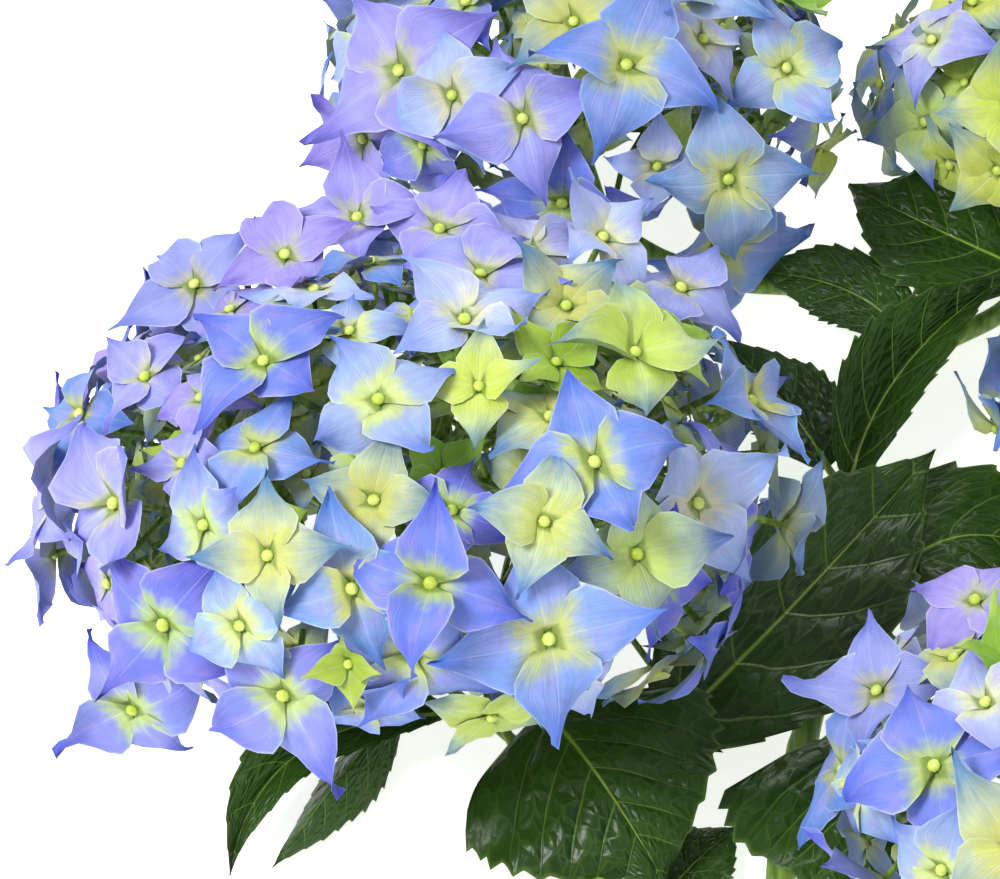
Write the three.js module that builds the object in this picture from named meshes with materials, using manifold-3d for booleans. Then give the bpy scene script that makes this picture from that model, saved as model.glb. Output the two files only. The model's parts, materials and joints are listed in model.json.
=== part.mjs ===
// A cut hydrangea branch with five mophead blooms and opposite leaves, lying on a level surface.
// Millimetres, +Z up. The origin is the centre of the flat cut, and the main stem leaves it along +Y.

import * as THREE from 'three';
import { mergeVertices } from 'three/addons/utils/BufferGeometryUtils.js';
import Module from 'manifold-3d';

const wasm = await Module();
wasm.setup();

// Driving dimensions
const cutRadius = 5.5;            // the main stem at its cut
const floor = -cutRadius - 0.1;   // the surface that the branch lies on
const clearance = 0.35;           // between pieces that touch on the plant
const settled = 0.94;             // how far a bloom's underside is pressed down, as a share of its height
const bloomFlatness = 0.62;       // a bloom's half height over its half width
const bloomTilt = 25.6;           // degrees that a bloom's crown leans away from upright, to +Y
const coreShare = 0.58;           // the closed heart of a bloom, as a share of its reach
const floretDepth = 0.87;         // where floret centres lie, as a share of the bloom's reach
const domeEdge = 118;             // degrees from the crown to the last florets
const goldenAngle = 137.508;      // degrees from one floret of the spiral to the next
const petalSpread = 36;           // degrees from a petal's tip to its shoulder, at the floret's middle
const pedicelRadius = 1.3;
const petioleRadius = 1.7;
const leafThickness = 1.1;
const limbSides = 8;
const petioleSides = 4;

// The blooms are read as seen from here
const eyeElevation = 50.6;
const eyeDistance = 900;

// Blooms: where the middle of each stands, its reach and its florets
const blooms = [
  { name: 'bloom_front', limb: 'main_stem', at: [-60, 262], reach: 100, florets: 44, seed: 11 },
  { name: 'bloom_top', limb: 'shoot_top', at: [-18, 416], reach: 79, florets: 27, seed: 23 },
  { name: 'bloom_top_right', limb: 'side_bough', at: [115, 417], reach: 62, florets: 19, seed: 37 },
  { name: 'bloom_low_right', limb: 'shoot_low_right', at: [106, 183], reach: 80, florets: 27, seed: 41 },
  { name: 'bloom_right', limb: 'shoot_right', at: [128, 317], reach: 50, florets: 14, seed: 59 },
];

// The florets that are seen best: right and up from their bloom's middle, span, turn, depth
const seenFlorets = {
  bloom_front: [
    [-7, 20, 41, 38, 0.93],
    [6, -24, 47, 76, 0.97],
    [33, -9, 34, 72, 0.92],
    [55, -17, 41, 15, 0.92],
    [-30, -51, 45, 42, 0.90],
    [-59, -34, 49, 57, 0.88],
    [-8, -4, 36, 78, 0.86],
    [-13, -25, 40, 15, 0.86],
    [-33, -17, 34, 4, 0.92],
    [-49, -10, 34, 20, 0.90],
    [-14, -43, 20, 5, 0.86],
    [1, -41, 45, 65, 0.84],
    [30, -37, 45, 50, 0.88],
    [17, 23, 32, 5, 0.92],
    [13, 39, 41, 37, 0.93],
    [-35, 29, 40, 45, 0.92],
    [-53, 47, 41, 32, 0.90],
    [-71, -5, 47, 24, 0.88],
    [45, 5, 45, 22, 0.97],
    [81, 19, 40, 35, 0.88],
    [69, -5, 45, 43, 0.86],
    [64, 46, 41, 62, 0.88],
    [-14, 63, 38, 5, 0.90],
    [28, 55, 34, 30, 0.88],
    [-40, -34, 32, 33, 0.88],
    [-64, 25, 34, 48, 0.88],
  ],
  bloom_top: [
    [11, -7, 50, 80, 0.95],
    [39, -36, 47, 8, 0.95],
    [35, -47, 54, 15, 0.90],
    [55, -5, 41, 30, 0.93],
    [-36, -14, 41, 20, 0.92],
    [-50, -6, 56, 28, 0.90],
    [-17, -21, 45, 15, 0.93],
    [-3, 6, 38, 40, 0.90],
    [28, 19, 47, 60, 0.95],
    [55, 16, 31, 20, 0.86],
    [64, -22, 31, 70, 0.88],
    [-6, -42, 43, 88, 0.86],
    [-59, -22, 36, 30, 0.86],
  ],
  bloom_top_right: [
    [-24, -8, 38, 10, 0.93],
    [-29, 23, 36, 30, 0.92],
    [-41, 12, 38, 60, 0.90],
    [-26, -25, 32, 45, 0.90],
  ],
  bloom_low_right: [
    [-53, 8, 45, 5, 0.93],
    [-37, -9, 45, 35, 0.93],
    [-40, 22, 36, 20, 0.90],
    [-36, 42, 40, 50, 0.90],
    [-33, 30, 31, 10, 0.88],
    [-60, 22, 40, 80, 0.88],
    [-52, -15, 36, 60, 0.88],
  ],
};

// Limbs: points from the thick end to the thin one, with the radius at each end.
// A side limb starts square to the limb that bears it, at a share of that limb's length.
const limbs = {
  main_stem: {
    points: [[0, 0, 0], [0, 30, 0.1], [-3, 102, 2], [-18, 193, 4], [-23, 221, 5], [-27, 232, 6.5]],
    radii: [cutRadius, 3.4],
  },
  side_bough: {
    born: { on: 'main_stem', along: 0.43, side: [1, 0, -0.1] },
    points: [[15, 114, 1], [24, 150, -0.5], [30, 202, -1], [43, 257, -1], [58, 322, -0.5],
      [72, 352, 0], [97, 369, 1], [106, 380, 3], [107, 389, 5.5]],
    radii: [4.1, 2.7],
  },
  shoot_low_right: {
    born: { on: 'side_bough', along: 0.12, side: [1, 0, 0] },
    points: [[60, 141, 1], [82, 148, 3], [92, 155, 5]],
    radii: [3.1, 2.6],
  },
  shoot_right: {
    born: { on: 'side_bough', along: 0.47, side: [1, 0, 0] },
    points: [[78, 273, -1.8], [103, 290, -1], [114, 298, 2]],
    radii: [2.9, 2.4],
  },
  shoot_top: {
    born: { on: 'side_bough', along: 0.8, side: [-1, 0.4, -0.1] },
    points: [[62, 371, 0.3], [52, 378, 0.6], [38, 378, 1], [22, 379, 2], [6, 385, 4], [-5, 391, 6.5]],
    radii: [2.9, 2.4],
  },
};

// Leaves: the limb, how far along it, the side the stalk leaves by, then the blade's base, bend and tip,
// its half width, the angle its halves fold up by, and the way its upper side faces.
const leaves = [
  { name: 'leaf_front', limb: 'main_stem', along: 0.965, side: [0.6, 0, 0.8],
    base: [-29, 227, 15], bend: [-16, 201, 29], tip: [1, 181, 5], half: 37, fold: -8, face: [0, -0.3, 1] },
  { name: 'leaf_broad_right', limb: 'main_stem', along: 0.93, side: [0.95, -0.1, 0.3],
    base: [0, 226, 4], bend: [32, 255, 14], tip: [73, 308, 17], half: 28, fold: 11, face: [0.05, -0.45, 1] },
  { name: 'leaf_low_right', limb: 'side_bough', along: 0.42, side: [0.8, -0.2, 0.5],
    base: [47, 226, 6], bend: [48, 200, 9], tip: [46, 172, 3], half: 35, fold: -5, face: [0.05, 0, 1] },
  { name: 'leaf_folded_left', limb: 'main_stem', along: 0.93, side: [-0.95, 0.1, 0.1],
    base: [-53, 231, 7], bend: [-100, 224, 16], tip: [-105, 190, -3.5], half: 14, fold: 42, face: [0, -0.2, 1] },
  { name: 'leaf_narrow_left', limb: 'main_stem', along: 0.975, side: [-0.6, 0, -0.8],
    base: [-65, 233, 7], bend: [-79, 211, 9], tip: [-95, 193, -4], half: 12, fold: -50, face: [0, 0, 1] },
  { name: 'leaf_far_right', limb: 'side_bough', along: 0.53, side: [0.75, 0.1, 0.6],
    base: [56, 268, 5], bend: [77, 303, 9], tip: [112, 276, 3], half: 25, fold: 5, face: [0, 0, 1] },
  { name: 'leaf_top_right', limb: 'side_bough', along: 0.955, side: [-0.7, -0.1, 0.7],
    base: [103, 377, 9], bend: [78, 383, 18], tip: [56, 404, 14], half: 24, fold: 6, face: [0, -0.2, 1] },
  { name: 'leaf_upper', limb: 'side_bough', along: 0.82, side: [-0.2, 0, 1],
    base: [69, 354, 8], bend: [57, 376, 9], tip: [27, 377, 8], half: 13, fold: 8, face: [0, -0.3, 1] },
  { name: 'leaf_folded_right', limb: 'side_bough', along: 0.63, side: [0.75, 0.1, 0.6],
    base: [51, 303, 7], bend: [59, 339, 15], tip: [98, 371, 14], half: 17, fold: 42, face: [0, 0, 1] },
  { name: 'leaf_young', limb: 'main_stem', along: 0.74, side: [0.95, 0.2, -0.1],
    base: [-4, 178, -1], bend: [8, 194, 1], tip: [19, 205, -3], half: 12, fold: 6, face: [0, 0, 1] },
  { name: 'leaf_tucked', limb: 'side_bough', along: 0.62, side: [-0.75, 0.2, 0.6],
    base: [46, 311, 5], bend: [38, 331, 8], tip: [20, 357, 3], half: 15, fold: 8, face: [0, 0, 1] },
  { name: 'leaf_lower_left', limb: 'main_stem', along: 0.42, side: [-0.98, 0.1, 0.15],
    base: [-24, 106, 3], bend: [-58, 102, 12], tip: [-100, 72, -4], half: 30, fold: 8, face: [0, 0, 1] },
  { name: 'leaf_lower_right', limb: 'shoot_low_right', along: 0.72, side: [0.2, -0.95, 0.2],
    base: [84, 128, 3], bend: [102, 102, 11], tip: [124, 66, -4], half: 29, fold: 8, face: [0, 0, 1] },
  { name: 'leaf_right_edge', limb: 'shoot_right', along: 0.9, side: [0.5, -0.85, 0],
    base: [138, 284, 1], bend: [166, 282, 8], tip: [203, 268, -4], half: 24, fold: 8, face: [0, 0, 1] },
  { name: 'leaf_back_right', limb: 'side_bough', along: 0.96, side: [0.95, -0.3, 0],
    base: [134, 382, 4], bend: [160, 382, 10], tip: [196, 370, -4], half: 25, fold: 8, face: [0, 0, 1] },
  { name: 'leaf_back', limb: 'shoot_top', along: 0.72, side: [0.2, 0.9, 0.3],
    base: [20, 400, 4], bend: [20, 428, 9], tip: [14, 468, -4], half: 19, fold: 6, face: [0, 0, 1] },
  { name: 'leaf_back_left', limb: 'shoot_top', along: 0.82, side: [-0.6, -0.75, 0.2],
    base: [-18, 378, 3], bend: [-46, 380, 8], tip: [-84, 384, -4], half: 19, fold: 6, face: [0, 0, 1] },
];

// Materials
const petalMaterial = new THREE.MeshStandardMaterial({ color: 0x8c9be0, roughness: 0.6, metalness: 0 });
const leafMaterial = new THREE.MeshStandardMaterial({ color: 0x2f5216, roughness: 0.42, metalness: 0 });
const stemMaterial = new THREE.MeshStandardMaterial({ color: 0x7d9a3c, roughness: 0.65, metalness: 0 });

const degrees = Math.PI / 180;
const vector = (p) => new THREE.Vector3(...p);

function seeded(seed) {
  let state = seed;
  return () => {
    state = (state + 0x6D2B79F5) | 0;
    let t = Math.imul(state ^ (state >>> 15), 1 | state);
    t = (t + Math.imul(t ^ (t >>> 7), 61 | t)) ^ t;
    return ((t ^ (t >>> 14)) >>> 0) / 4294967296;
  };
}

// Closed meshes and their fusing
function meshFrom(points, faces) {
  const geometry = new THREE.BufferGeometry();
  geometry.setAttribute('position', new THREE.Float32BufferAttribute(points.flatMap((p) => [p.x, p.y, p.z]), 3));
  geometry.setIndex(faces.flat());
  return geometry;
}

function solid(geometry) {
  geometry.deleteAttribute('normal');
  geometry.deleteAttribute('uv');
  const merged = mergeVertices(geometry, 1e-4);
  const vertProperties = new Float32Array(merged.attributes.position.array);
  const triVerts = new Uint32Array(merged.index.array);
  return new wasm.Manifold(new wasm.Mesh({ numProp: 3, vertProperties, triVerts }));
}

// The largest shell of a fused solid: sealed hollows and loose scraps are left behind
function largestShell(fused) {
  const { numProp, vertProperties, triVerts } = fused.getMesh();
  const parent = Array.from({ length: vertProperties.length / numProp }, (unused, i) => i);
  const root = (i) => {
    while (parent[i] !== i) i = parent[i] = parent[parent[i]];
    return i;
  };
  for (let t = 0; t < triVerts.length; t += 3) {
    parent[root(triVerts[t + 1])] = root(triVerts[t]);
    parent[root(triVerts[t + 2])] = root(triVerts[t]);
  }
  const point = (i) => new THREE.Vector3().fromArray(vertProperties, i * numProp);
  const volumes = new Map();
  for (let t = 0; t < triVerts.length; t += 3) {
    const [a, b, c] = [0, 1, 2].map((k) => point(triVerts[t + k]));
    const shell = root(triVerts[t]);
    volumes.set(shell, (volumes.get(shell) || 0) + a.dot(b.cross(c)) / 6);
  }
  const [largest] = [...volumes].sort((a, b) => b[1] - a[1])[0];
  const kept = [];
  for (let t = 0; t < triVerts.length; t += 3) {
    if (root(triVerts[t]) === largest) kept.push(triVerts[t], triVerts[t + 1], triVerts[t + 2]);
  }
  const geometry = new THREE.BufferGeometry();
  const positions = kept.flatMap((i) => point(i).toArray());
  geometry.setAttribute('position', new THREE.Float32BufferAttribute(positions, 3));
  return mergeVertices(geometry, 1e-5);
}

// A tapering round limb along a smooth curve, closed by flat ends
function taperingTube(points, radiusAt, sides, steps) {
  const curve = new THREE.CatmullRomCurve3(points, false, 'centripetal');
  const frames = curve.computeFrenetFrames(steps, false);
  const rings = [];
  const faces = [];
  for (let i = 0; i <= steps; i++) {
    const centre = curve.getPointAt(i / steps);
    for (let k = 0; k < sides; k++) {
      const turn = (2 * Math.PI * k) / sides;
      const out = frames.normals[i].clone().multiplyScalar(Math.cos(turn));
      out.addScaledVector(frames.binormals[i], Math.sin(turn));
      rings.push(centre.clone().addScaledVector(out, radiusAt(i / steps)));
    }
  }
  for (let i = 0; i < steps; i++) {
    for (let k = 0; k < sides; k++) {
      const a = i * sides + k;
      const b = i * sides + ((k + 1) % sides);
      faces.push([a, b, b + sides], [a, b + sides, a + sides]);
    }
  }
  for (let k = 1; k < sides - 1; k++) {
    faces.push([0, k + 1, k], [steps * sides, steps * sides + k, steps * sides + k + 1]);
  }
  return meshFrom(rings, faces);
}

function limbPoints(limb) {
  const points = limb.points.map(vector);
  if (!limb.born) return points;
  const { start, out } = seatOn(limb.born);
  return [start, start.clone().addScaledVector(out, 6), ...points];
}

function limbCurve(limb) {
  return new THREE.CatmullRomCurve3(limbPoints(limb), false, 'centripetal');
}

// Where a stalk or side limb starts: just clear of the limb that bears it, square to it
function seatOn({ on, along, side }) {
  const bearer = limbs[on];
  const curve = limbCurve(bearer);
  const way = curve.getTangentAt(along);
  const out = vector(side).addScaledVector(way, -vector(side).dot(way)).normalize();
  const start = curve.getPointAt(along).addScaledVector(out, limbRadius(bearer, along) + clearance);
  return { start, out };
}

function limbRadius(limb, t) {
  const [thick, thin] = limb.radii;
  return THREE.MathUtils.lerp(thick, thin, t);
}

function limbGeometry(limb) {
  const steps = Math.round(limbCurve(limb).getLength() / 14);
  const geometry = taperingTube(limbPoints(limb), (t) => limbRadius(limb, t), limbSides, steps);
  if (!limb.born) {
    for (let k = 0; k < limbSides; k++) geometry.attributes.position.setY(k, 0);
  }
  return geometry;
}

// A leaf: an ovate toothed blade that bends along its midrib, fused to its stalk
const teethPerSide = 6;
const toothDepth = 0.12;

function ovate(u) {
  return Math.sin(Math.PI * u ** 0.78) ** 0.8 * (1 - 0.8 * u ** 6);
}

function bladePoint(leaf, midrib, u, v, above) {
  const along = midrib.getTangent(u);
  const across = new THREE.Vector3().crossVectors(along, vector(leaf.face)).normalize();
  const up = new THREE.Vector3().crossVectors(across, along);
  const reach = Math.max(leaf.half * ovate(u), 0.9) * Math.abs(v);
  const fold = leaf.fold * degrees;
  const point = midrib.getPoint(u);
  point.addScaledVector(across, Math.sign(v) * reach * Math.cos(fold));
  point.addScaledVector(up, reach * Math.sin(fold) + above);
  point.z = Math.max(point.z, floor + 0.6 + above);
  return point;
}

function bladeMidrib(leaf) {
  return new THREE.QuadraticBezierCurve3(vector(leaf.base), vector(leaf.bend), vector(leaf.tip));
}

function bladeGeometry(leaf) {
  const midrib = bladeMidrib(leaf);
  const stations = [[0.012, 1]];
  for (let i = 0; i < teethPerSide; i++) {
    const start = 0.05 + (0.9 * i) / teethPerSide;
    stations.push([start, 1 - toothDepth]);
    stations.push([start + (0.68 * 0.9) / teethPerSide, 1]);
  }
  stations.push([0.99, 1]);
  const points = [];
  const faces = [];
  for (const above of [leafThickness / 2, -leafThickness / 2]) {
    for (const [u, edge] of stations) {
      for (const v of [-edge, 0, edge]) points.push(bladePoint(leaf, midrib, u, v, above));
    }
  }
  const size = stations.length * 3;
  for (let i = 0; i < stations.length - 1; i++) {
    for (let k = 0; k < 2; k++) {
      const a = i * 3 + k;
      faces.push([a, a + 1, a + 4], [a, a + 4, a + 3]);
      faces.push([size + a, size + a + 4, size + a + 1], [size + a, size + a + 3, size + a + 4]);
    }
    const left = i * 3;
    const right = i * 3 + 2;
    faces.push([left, left + 3, size + left + 3], [left, size + left + 3, size + left]);
    faces.push([right, size + right + 3, right + 3], [right, size + right, size + right + 3]);
  }
  const last = size - 3;
  for (let k = 0; k < 2; k++) {
    faces.push([k, size + k, size + k + 1], [k, size + k + 1, k + 1]);
    faces.push([last + k, size + last + k + 1, size + last + k], [last + k, last + k + 1, size + last + k + 1]);
  }
  return meshFrom(points, faces);
}

function petioleGeometry(leaf) {
  const { start, out } = seatOn({ on: leaf.limb, along: leaf.along, side: leaf.side });
  const midrib = bladeMidrib(leaf);
  const base = midrib.getPoint(0);
  const lead = Math.min(12, start.distanceTo(base) * 0.35);
  const points = [start, start.clone().addScaledVector(out, lead * 0.5)];
  points.push(base.clone().addScaledVector(midrib.getTangent(0), -lead));
  points.push(base, midrib.getPoint(0.16));
  const steps = 3 + Math.round(start.distanceTo(base) / 12);
  return taperingTube(points, (t) => petioleRadius * (1 - 0.35 * t), petioleSides, steps);
}

function leafGeometry(leaf) {
  return largestShell(solid(bladeGeometry(leaf)).add(solid(petioleGeometry(leaf))));
}

// A bloom: florets on a flattened dome round a smaller heart
const crown = new THREE.Vector3(0, Math.sin(bloomTilt * degrees), Math.cos(bloomTilt * degrees));
const sideways = new THREE.Vector3(1, 0, 0);
const forward = new THREE.Vector3().crossVectors(crown, sideways);
const eyeBack = new THREE.Vector3(0, -Math.cos(eyeElevation * degrees), Math.sin(eyeElevation * degrees));
const eyeUp = new THREE.Vector3(0, Math.sin(eyeElevation * degrees), Math.cos(eyeElevation * degrees));

function bloomCentre(bloom) {
  const lowest = bloom.reach * Math.hypot(Math.sin(bloomTilt * degrees), bloomFlatness * Math.cos(bloomTilt * degrees));
  return new THREE.Vector3(bloom.at[0], bloom.at[1], floor + lowest * settled);
}

// 1 on the surface of the bloom's space, less inside
function spaceShare(bloom, offset) {
  const rise = offset.dot(crown) / (bloom.reach * bloomFlatness);
  const level = offset.clone().addScaledVector(crown, -offset.dot(crown)).length() / bloom.reach;
  return Math.hypot(rise, level);
}

function spaceNormal(offset) {
  const rise = offset.dot(crown);
  const level = offset.clone().addScaledVector(crown, -rise);
  return level.addScaledVector(crown, rise / bloomFlatness ** 2).normalize();
}

// The place on the dome that is seen at a given distance right and up from the bloom's middle
function seenPlace(bloom, right, up, depth) {
  const place = new THREE.Vector3();
  let near = 0;
  for (let pass = 0; pass < 4; pass++) {
    const scale = 1 - near / eyeDistance;
    const flat = new THREE.Vector3(right * scale, 0, 0).addScaledVector(eyeUp, up * scale);
    let low = 0;
    let high = bloom.reach;
    for (let step = 0; step < 24; step++) {
      near = (low + high) / 2;
      place.copy(flat).addScaledVector(eyeBack, near);
      if (spaceShare(bloom, place) < depth) low = near;
      else high = near;
    }
    place.copy(flat).addScaledVector(eyeBack, near);
  }
  return place;
}

function floretsOf(bloom) {
  const random = seeded(bloom.seed);
  const florets = [];
  for (const [right, up, span, turn, depth] of seenFlorets[bloom.name] || []) {
    const place = seenPlace(bloom, right, up, depth);
    florets.push({ place, span, turn, facing: eyeBack });
  }
  const spacing = bloom.reach * 2.05 / Math.sqrt(bloom.florets);
  for (let i = 0; i < bloom.florets; i++) {
    const drop = 1 - ((1 - Math.cos(domeEdge * degrees)) * (i + 0.5)) / bloom.florets;
    const ring = Math.sqrt(1 - drop * drop);
    const round = i * goldenAngle * degrees;
    const depth = floretDepth + 0.05 * random();
    const span = 36 + 12 * random();
    const turn = 90 * random();
    const place = new THREE.Vector3().addScaledVector(sideways, ring * Math.cos(round));
    place.addScaledVector(forward, ring * Math.sin(round)).addScaledVector(crown, drop * bloomFlatness);
    place.multiplyScalar(bloom.reach * depth);
    if (florets.some((other) => other.place.distanceTo(place) < spacing * 0.75)) continue;
    florets.push({ place, span, turn, facing: spaceNormal(place) });
  }
  return florets;
}

// Points that the florets stay clear of, each with its radius
function keepOut() {
  const places = [];
  for (const limb of Object.values(limbs)) {
    const curve = limbCurve(limb);
    const count = Math.round(curve.getLength() / 4);
    for (let i = 0; i <= count; i++) {
      places.push([curve.getPointAt(i / count), limbRadius(limb, i / count) + 1.5]);
    }
  }
  for (const leaf of leaves) {
    const midrib = bladeMidrib(leaf);
    const rows = Math.round(midrib.getLength() / 5);
    for (let i = 0; i <= rows; i++) {
      const columns = Math.ceil((leaf.half * ovate(i / rows)) / 5);
      for (let k = -columns; k <= columns; k++) {
        places.push([bladePoint(leaf, midrib, i / rows, columns ? k / columns : 0, 0), 5]);
      }
    }
  }
  return places;
}

const occupied = keepOut();

// Draws a point back towards the bloom's heart until it is inside its space and clear of leaves and limbs
function drawnIn(bloom, centre, point) {
  const offset = point.clone().sub(centre);
  const share = spaceShare(bloom, offset);
  if (share > 0.995) offset.multiplyScalar(0.995 / share);
  const placed = centre.clone().add(offset);
  for (let step = 0; step < 24; step++) {
    if (!occupied.some(([place, radius]) => place.distanceTo(placed) < radius)) break;
    placed.lerp(centre, 0.05);
  }
  placed.z = Math.max(placed.z, floor + 0.3);
  return placed;
}

// Four pointed petals and the stalk below them, as one closed shape
function floretGeometry(bloom, centre, floret) {
  const axis = floret.facing.clone().lerp(spaceNormal(floret.place), 0.75).normalize();
  const guide = Math.abs(axis.x) > 0.9 ? crown : sideways;
  const first = guide.clone().addScaledVector(axis, -guide.dot(axis)).normalize();
  const second = new THREE.Vector3().crossVectors(axis, first);
  const middle = centre.clone().add(floret.place);
  const at = (radius, angle, lift) => {
    const point = middle.clone().addScaledVector(axis, lift);
    point.addScaledVector(first, radius * Math.cos(angle));
    return point.addScaledVector(second, radius * Math.sin(angle));
  };
  const size = floret.span / 2;
  const points = [];
  const faces = [];
  for (let k = 0; k < 4; k++) {
    const angle = (floret.turn + 90 * k) * degrees;
    points.push(drawnIn(bloom, centre, at(size * 0.17, angle - 45 * degrees, -0.4)));
    points.push(drawnIn(bloom, centre, at(size * 0.6, angle - petalSpread * degrees, size * 0.1)));
    points.push(drawnIn(bloom, centre, at(size, angle, -size * 0.06)));
    points.push(drawnIn(bloom, centre, at(size * 0.6, angle + petalSpread * degrees, size * 0.02)));
  }
  const heart = centre.clone().addScaledVector(floret.place, coreShare * 0.8);
  for (let k = 0; k < 4; k++) {
    points.push(at(pedicelRadius, (floret.turn + 90 * k - 45) * degrees, -2.2));
  }
  for (let k = 0; k < 4; k++) {
    const ring = at(pedicelRadius, (floret.turn + 90 * k - 45) * degrees, -2.2).sub(middle);
    points.push(heart.clone().add(ring));
  }
  const button = points.push(middle.clone().addScaledVector(axis, 0.5)) - 1;
  for (let k = 0; k < 4; k++) {
    const [notch, right, tip, left] = [0, 1, 2, 3].map((j) => 4 * k + j);
    const next = (4 * k + 4) % 16;
    const stalk = 16 + k;
    const stalkNext = 16 + ((k + 1) % 4);
    for (const [a, b] of [[notch, right], [right, tip], [tip, left], [left, next]]) faces.push([button, a, b]);
    faces.push([stalk, right, notch], [stalk, tip, right], [stalk, stalkNext, tip]);
    faces.push([stalkNext, left, tip], [stalkNext, next, left]);
    faces.push([stalk, stalk + 4, stalkNext + 4], [stalk, stalkNext + 4, stalkNext]);
  }
  faces.push([20, 22, 21], [20, 23, 22]);
  return meshFrom(points, faces);
}

function stubGeometry(bloom, centre) {
  const limb = limbs[bloom.limb];
  const along = limbCurve(limb).getTangentAt(1);
  const start = vector(limb.points.at(-1)).addScaledVector(along, clearance);
  const inside = centre.clone().addScaledVector(crown, -bloom.reach * bloomFlatness * coreShare * 0.6);
  const points = [start, start.clone().addScaledVector(along, 4), inside];
  return taperingTube(points, () => limb.radii[1], 6, 5);
}

function coreGeometry(bloom, centre) {
  const core = new THREE.IcosahedronGeometry(bloom.reach * coreShare, 2);
  core.scale(1, 1, bloomFlatness);
  core.rotateX(-bloomTilt * degrees);
  core.translate(centre.x, centre.y, centre.z);
  return core;
}

function bloomGeometry(bloom) {
  const centre = bloomCentre(bloom);
  let fused = solid(coreGeometry(bloom, centre)).add(solid(stubGeometry(bloom, centre)));
  for (const floret of floretsOf(bloom)) fused = fused.add(solid(floretGeometry(bloom, centre, floret)));
  return largestShell(fused);
}

const plant = new THREE.Group();

function place(name, geometry, material) {
  const mesh = new THREE.Mesh(geometry, material);
  mesh.name = name;
  plant.add(mesh);
}

for (const [name, limb] of Object.entries(limbs)) place(name, limbGeometry(limb), stemMaterial);
for (const leaf of leaves) place(leaf.name, leafGeometry(leaf), leafMaterial);
for (const bloom of blooms) place(bloom.name, bloomGeometry(bloom), petalMaterial);

export default plant;
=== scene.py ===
# %% [markdown]
# # A cut hydrangea branch
# The real thing is a forked green stem with broad toothed leaves and five rounded blue blooms.
# Each bloom is dozens or hundreds of florets, and each floret is four thin sepals round a button.
# This lesson dresses the solid model of that branch: it grows the same limbs, leaves and florets
# by the same rule, and carries them to real sepals, veins and stalks.
# Everything is planned in millimetres and turned to metres when a mesh is made.

# %% Load the solid model
import json
import math
import bmesh
import bpy
import numpy as np
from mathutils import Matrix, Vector, kdtree

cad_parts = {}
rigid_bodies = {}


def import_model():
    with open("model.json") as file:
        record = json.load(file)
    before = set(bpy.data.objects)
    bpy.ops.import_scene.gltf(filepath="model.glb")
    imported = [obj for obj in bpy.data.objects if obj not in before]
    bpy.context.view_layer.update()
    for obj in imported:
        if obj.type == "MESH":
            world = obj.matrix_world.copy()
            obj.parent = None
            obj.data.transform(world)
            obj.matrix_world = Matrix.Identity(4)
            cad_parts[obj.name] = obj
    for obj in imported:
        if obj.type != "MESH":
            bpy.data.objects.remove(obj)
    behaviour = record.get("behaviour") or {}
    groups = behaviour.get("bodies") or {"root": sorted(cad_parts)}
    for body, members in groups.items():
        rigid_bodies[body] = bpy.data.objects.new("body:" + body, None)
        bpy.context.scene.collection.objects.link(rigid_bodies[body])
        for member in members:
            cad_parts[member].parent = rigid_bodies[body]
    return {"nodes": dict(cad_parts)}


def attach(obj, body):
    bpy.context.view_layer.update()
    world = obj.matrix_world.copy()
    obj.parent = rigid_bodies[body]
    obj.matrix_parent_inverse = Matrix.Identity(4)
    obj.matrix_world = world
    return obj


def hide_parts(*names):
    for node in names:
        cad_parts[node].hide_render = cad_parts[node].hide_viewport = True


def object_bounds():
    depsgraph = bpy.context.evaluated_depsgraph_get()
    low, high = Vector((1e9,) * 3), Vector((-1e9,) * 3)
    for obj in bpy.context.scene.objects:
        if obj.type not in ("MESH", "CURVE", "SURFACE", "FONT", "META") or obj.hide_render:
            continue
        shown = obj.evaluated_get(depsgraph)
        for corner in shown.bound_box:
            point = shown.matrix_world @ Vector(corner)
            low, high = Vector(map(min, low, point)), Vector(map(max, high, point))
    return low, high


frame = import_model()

cad_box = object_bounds()
MM = 0.001
print("nodes", len(frame["nodes"]), "box", [tuple(round(x, 3) for x in corner) for corner in cad_box])

# %% [markdown]
# ## The plan of the branch
# A plant has few rules and many parts. The limbs are smooth curves through a few points, each leaf
# has a base, a bend and a tip, and each bloom has a middle and a reach. These are the numbers that
# the solid model was built from, written once more, so that the fine pieces land where it stands.

# %% Driving sizes
CUT_RADIUS = 5.5
FLOOR = -CUT_RADIUS - 0.1
CLEARANCE = 0.35
SETTLED = 0.94
FLATNESS = 0.62
TILT = math.radians(25.6)
FLORET_DEPTH = 0.87
DOME_EDGE = math.radians(118)
GOLDEN_ANGLE = math.radians(137.508)
PETIOLE_RADIUS = 1.7
EYE_ELEVATION = math.radians(50.6)
EYE_DISTANCE = 900.0
PHOTO = (1000, 879)
PIXEL = 0.241

BLOOMS = {
    "bloom_front": dict(limb="main_stem", at=(-60, 262), reach=100, florets=44, seed=11),
    "bloom_top": dict(limb="shoot_top", at=(-18, 416), reach=79, florets=27, seed=23),
    "bloom_top_right": dict(limb="side_bough", at=(115, 417), reach=62, florets=19, seed=37),
    "bloom_low_right": dict(limb="shoot_low_right", at=(106, 183), reach=80, florets=27, seed=41),
    "bloom_right": dict(limb="shoot_right", at=(128, 317), reach=50, florets=14, seed=59),
}

# %% [markdown]
# Florets age from lime through sky blue to deep blue, violet or a pale blue. The ones that are seen
# best are read from the photograph: how far right and up from the bloom's middle they sit in the
# view, their span and turn, how deep they lie, and how old they look.

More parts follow.
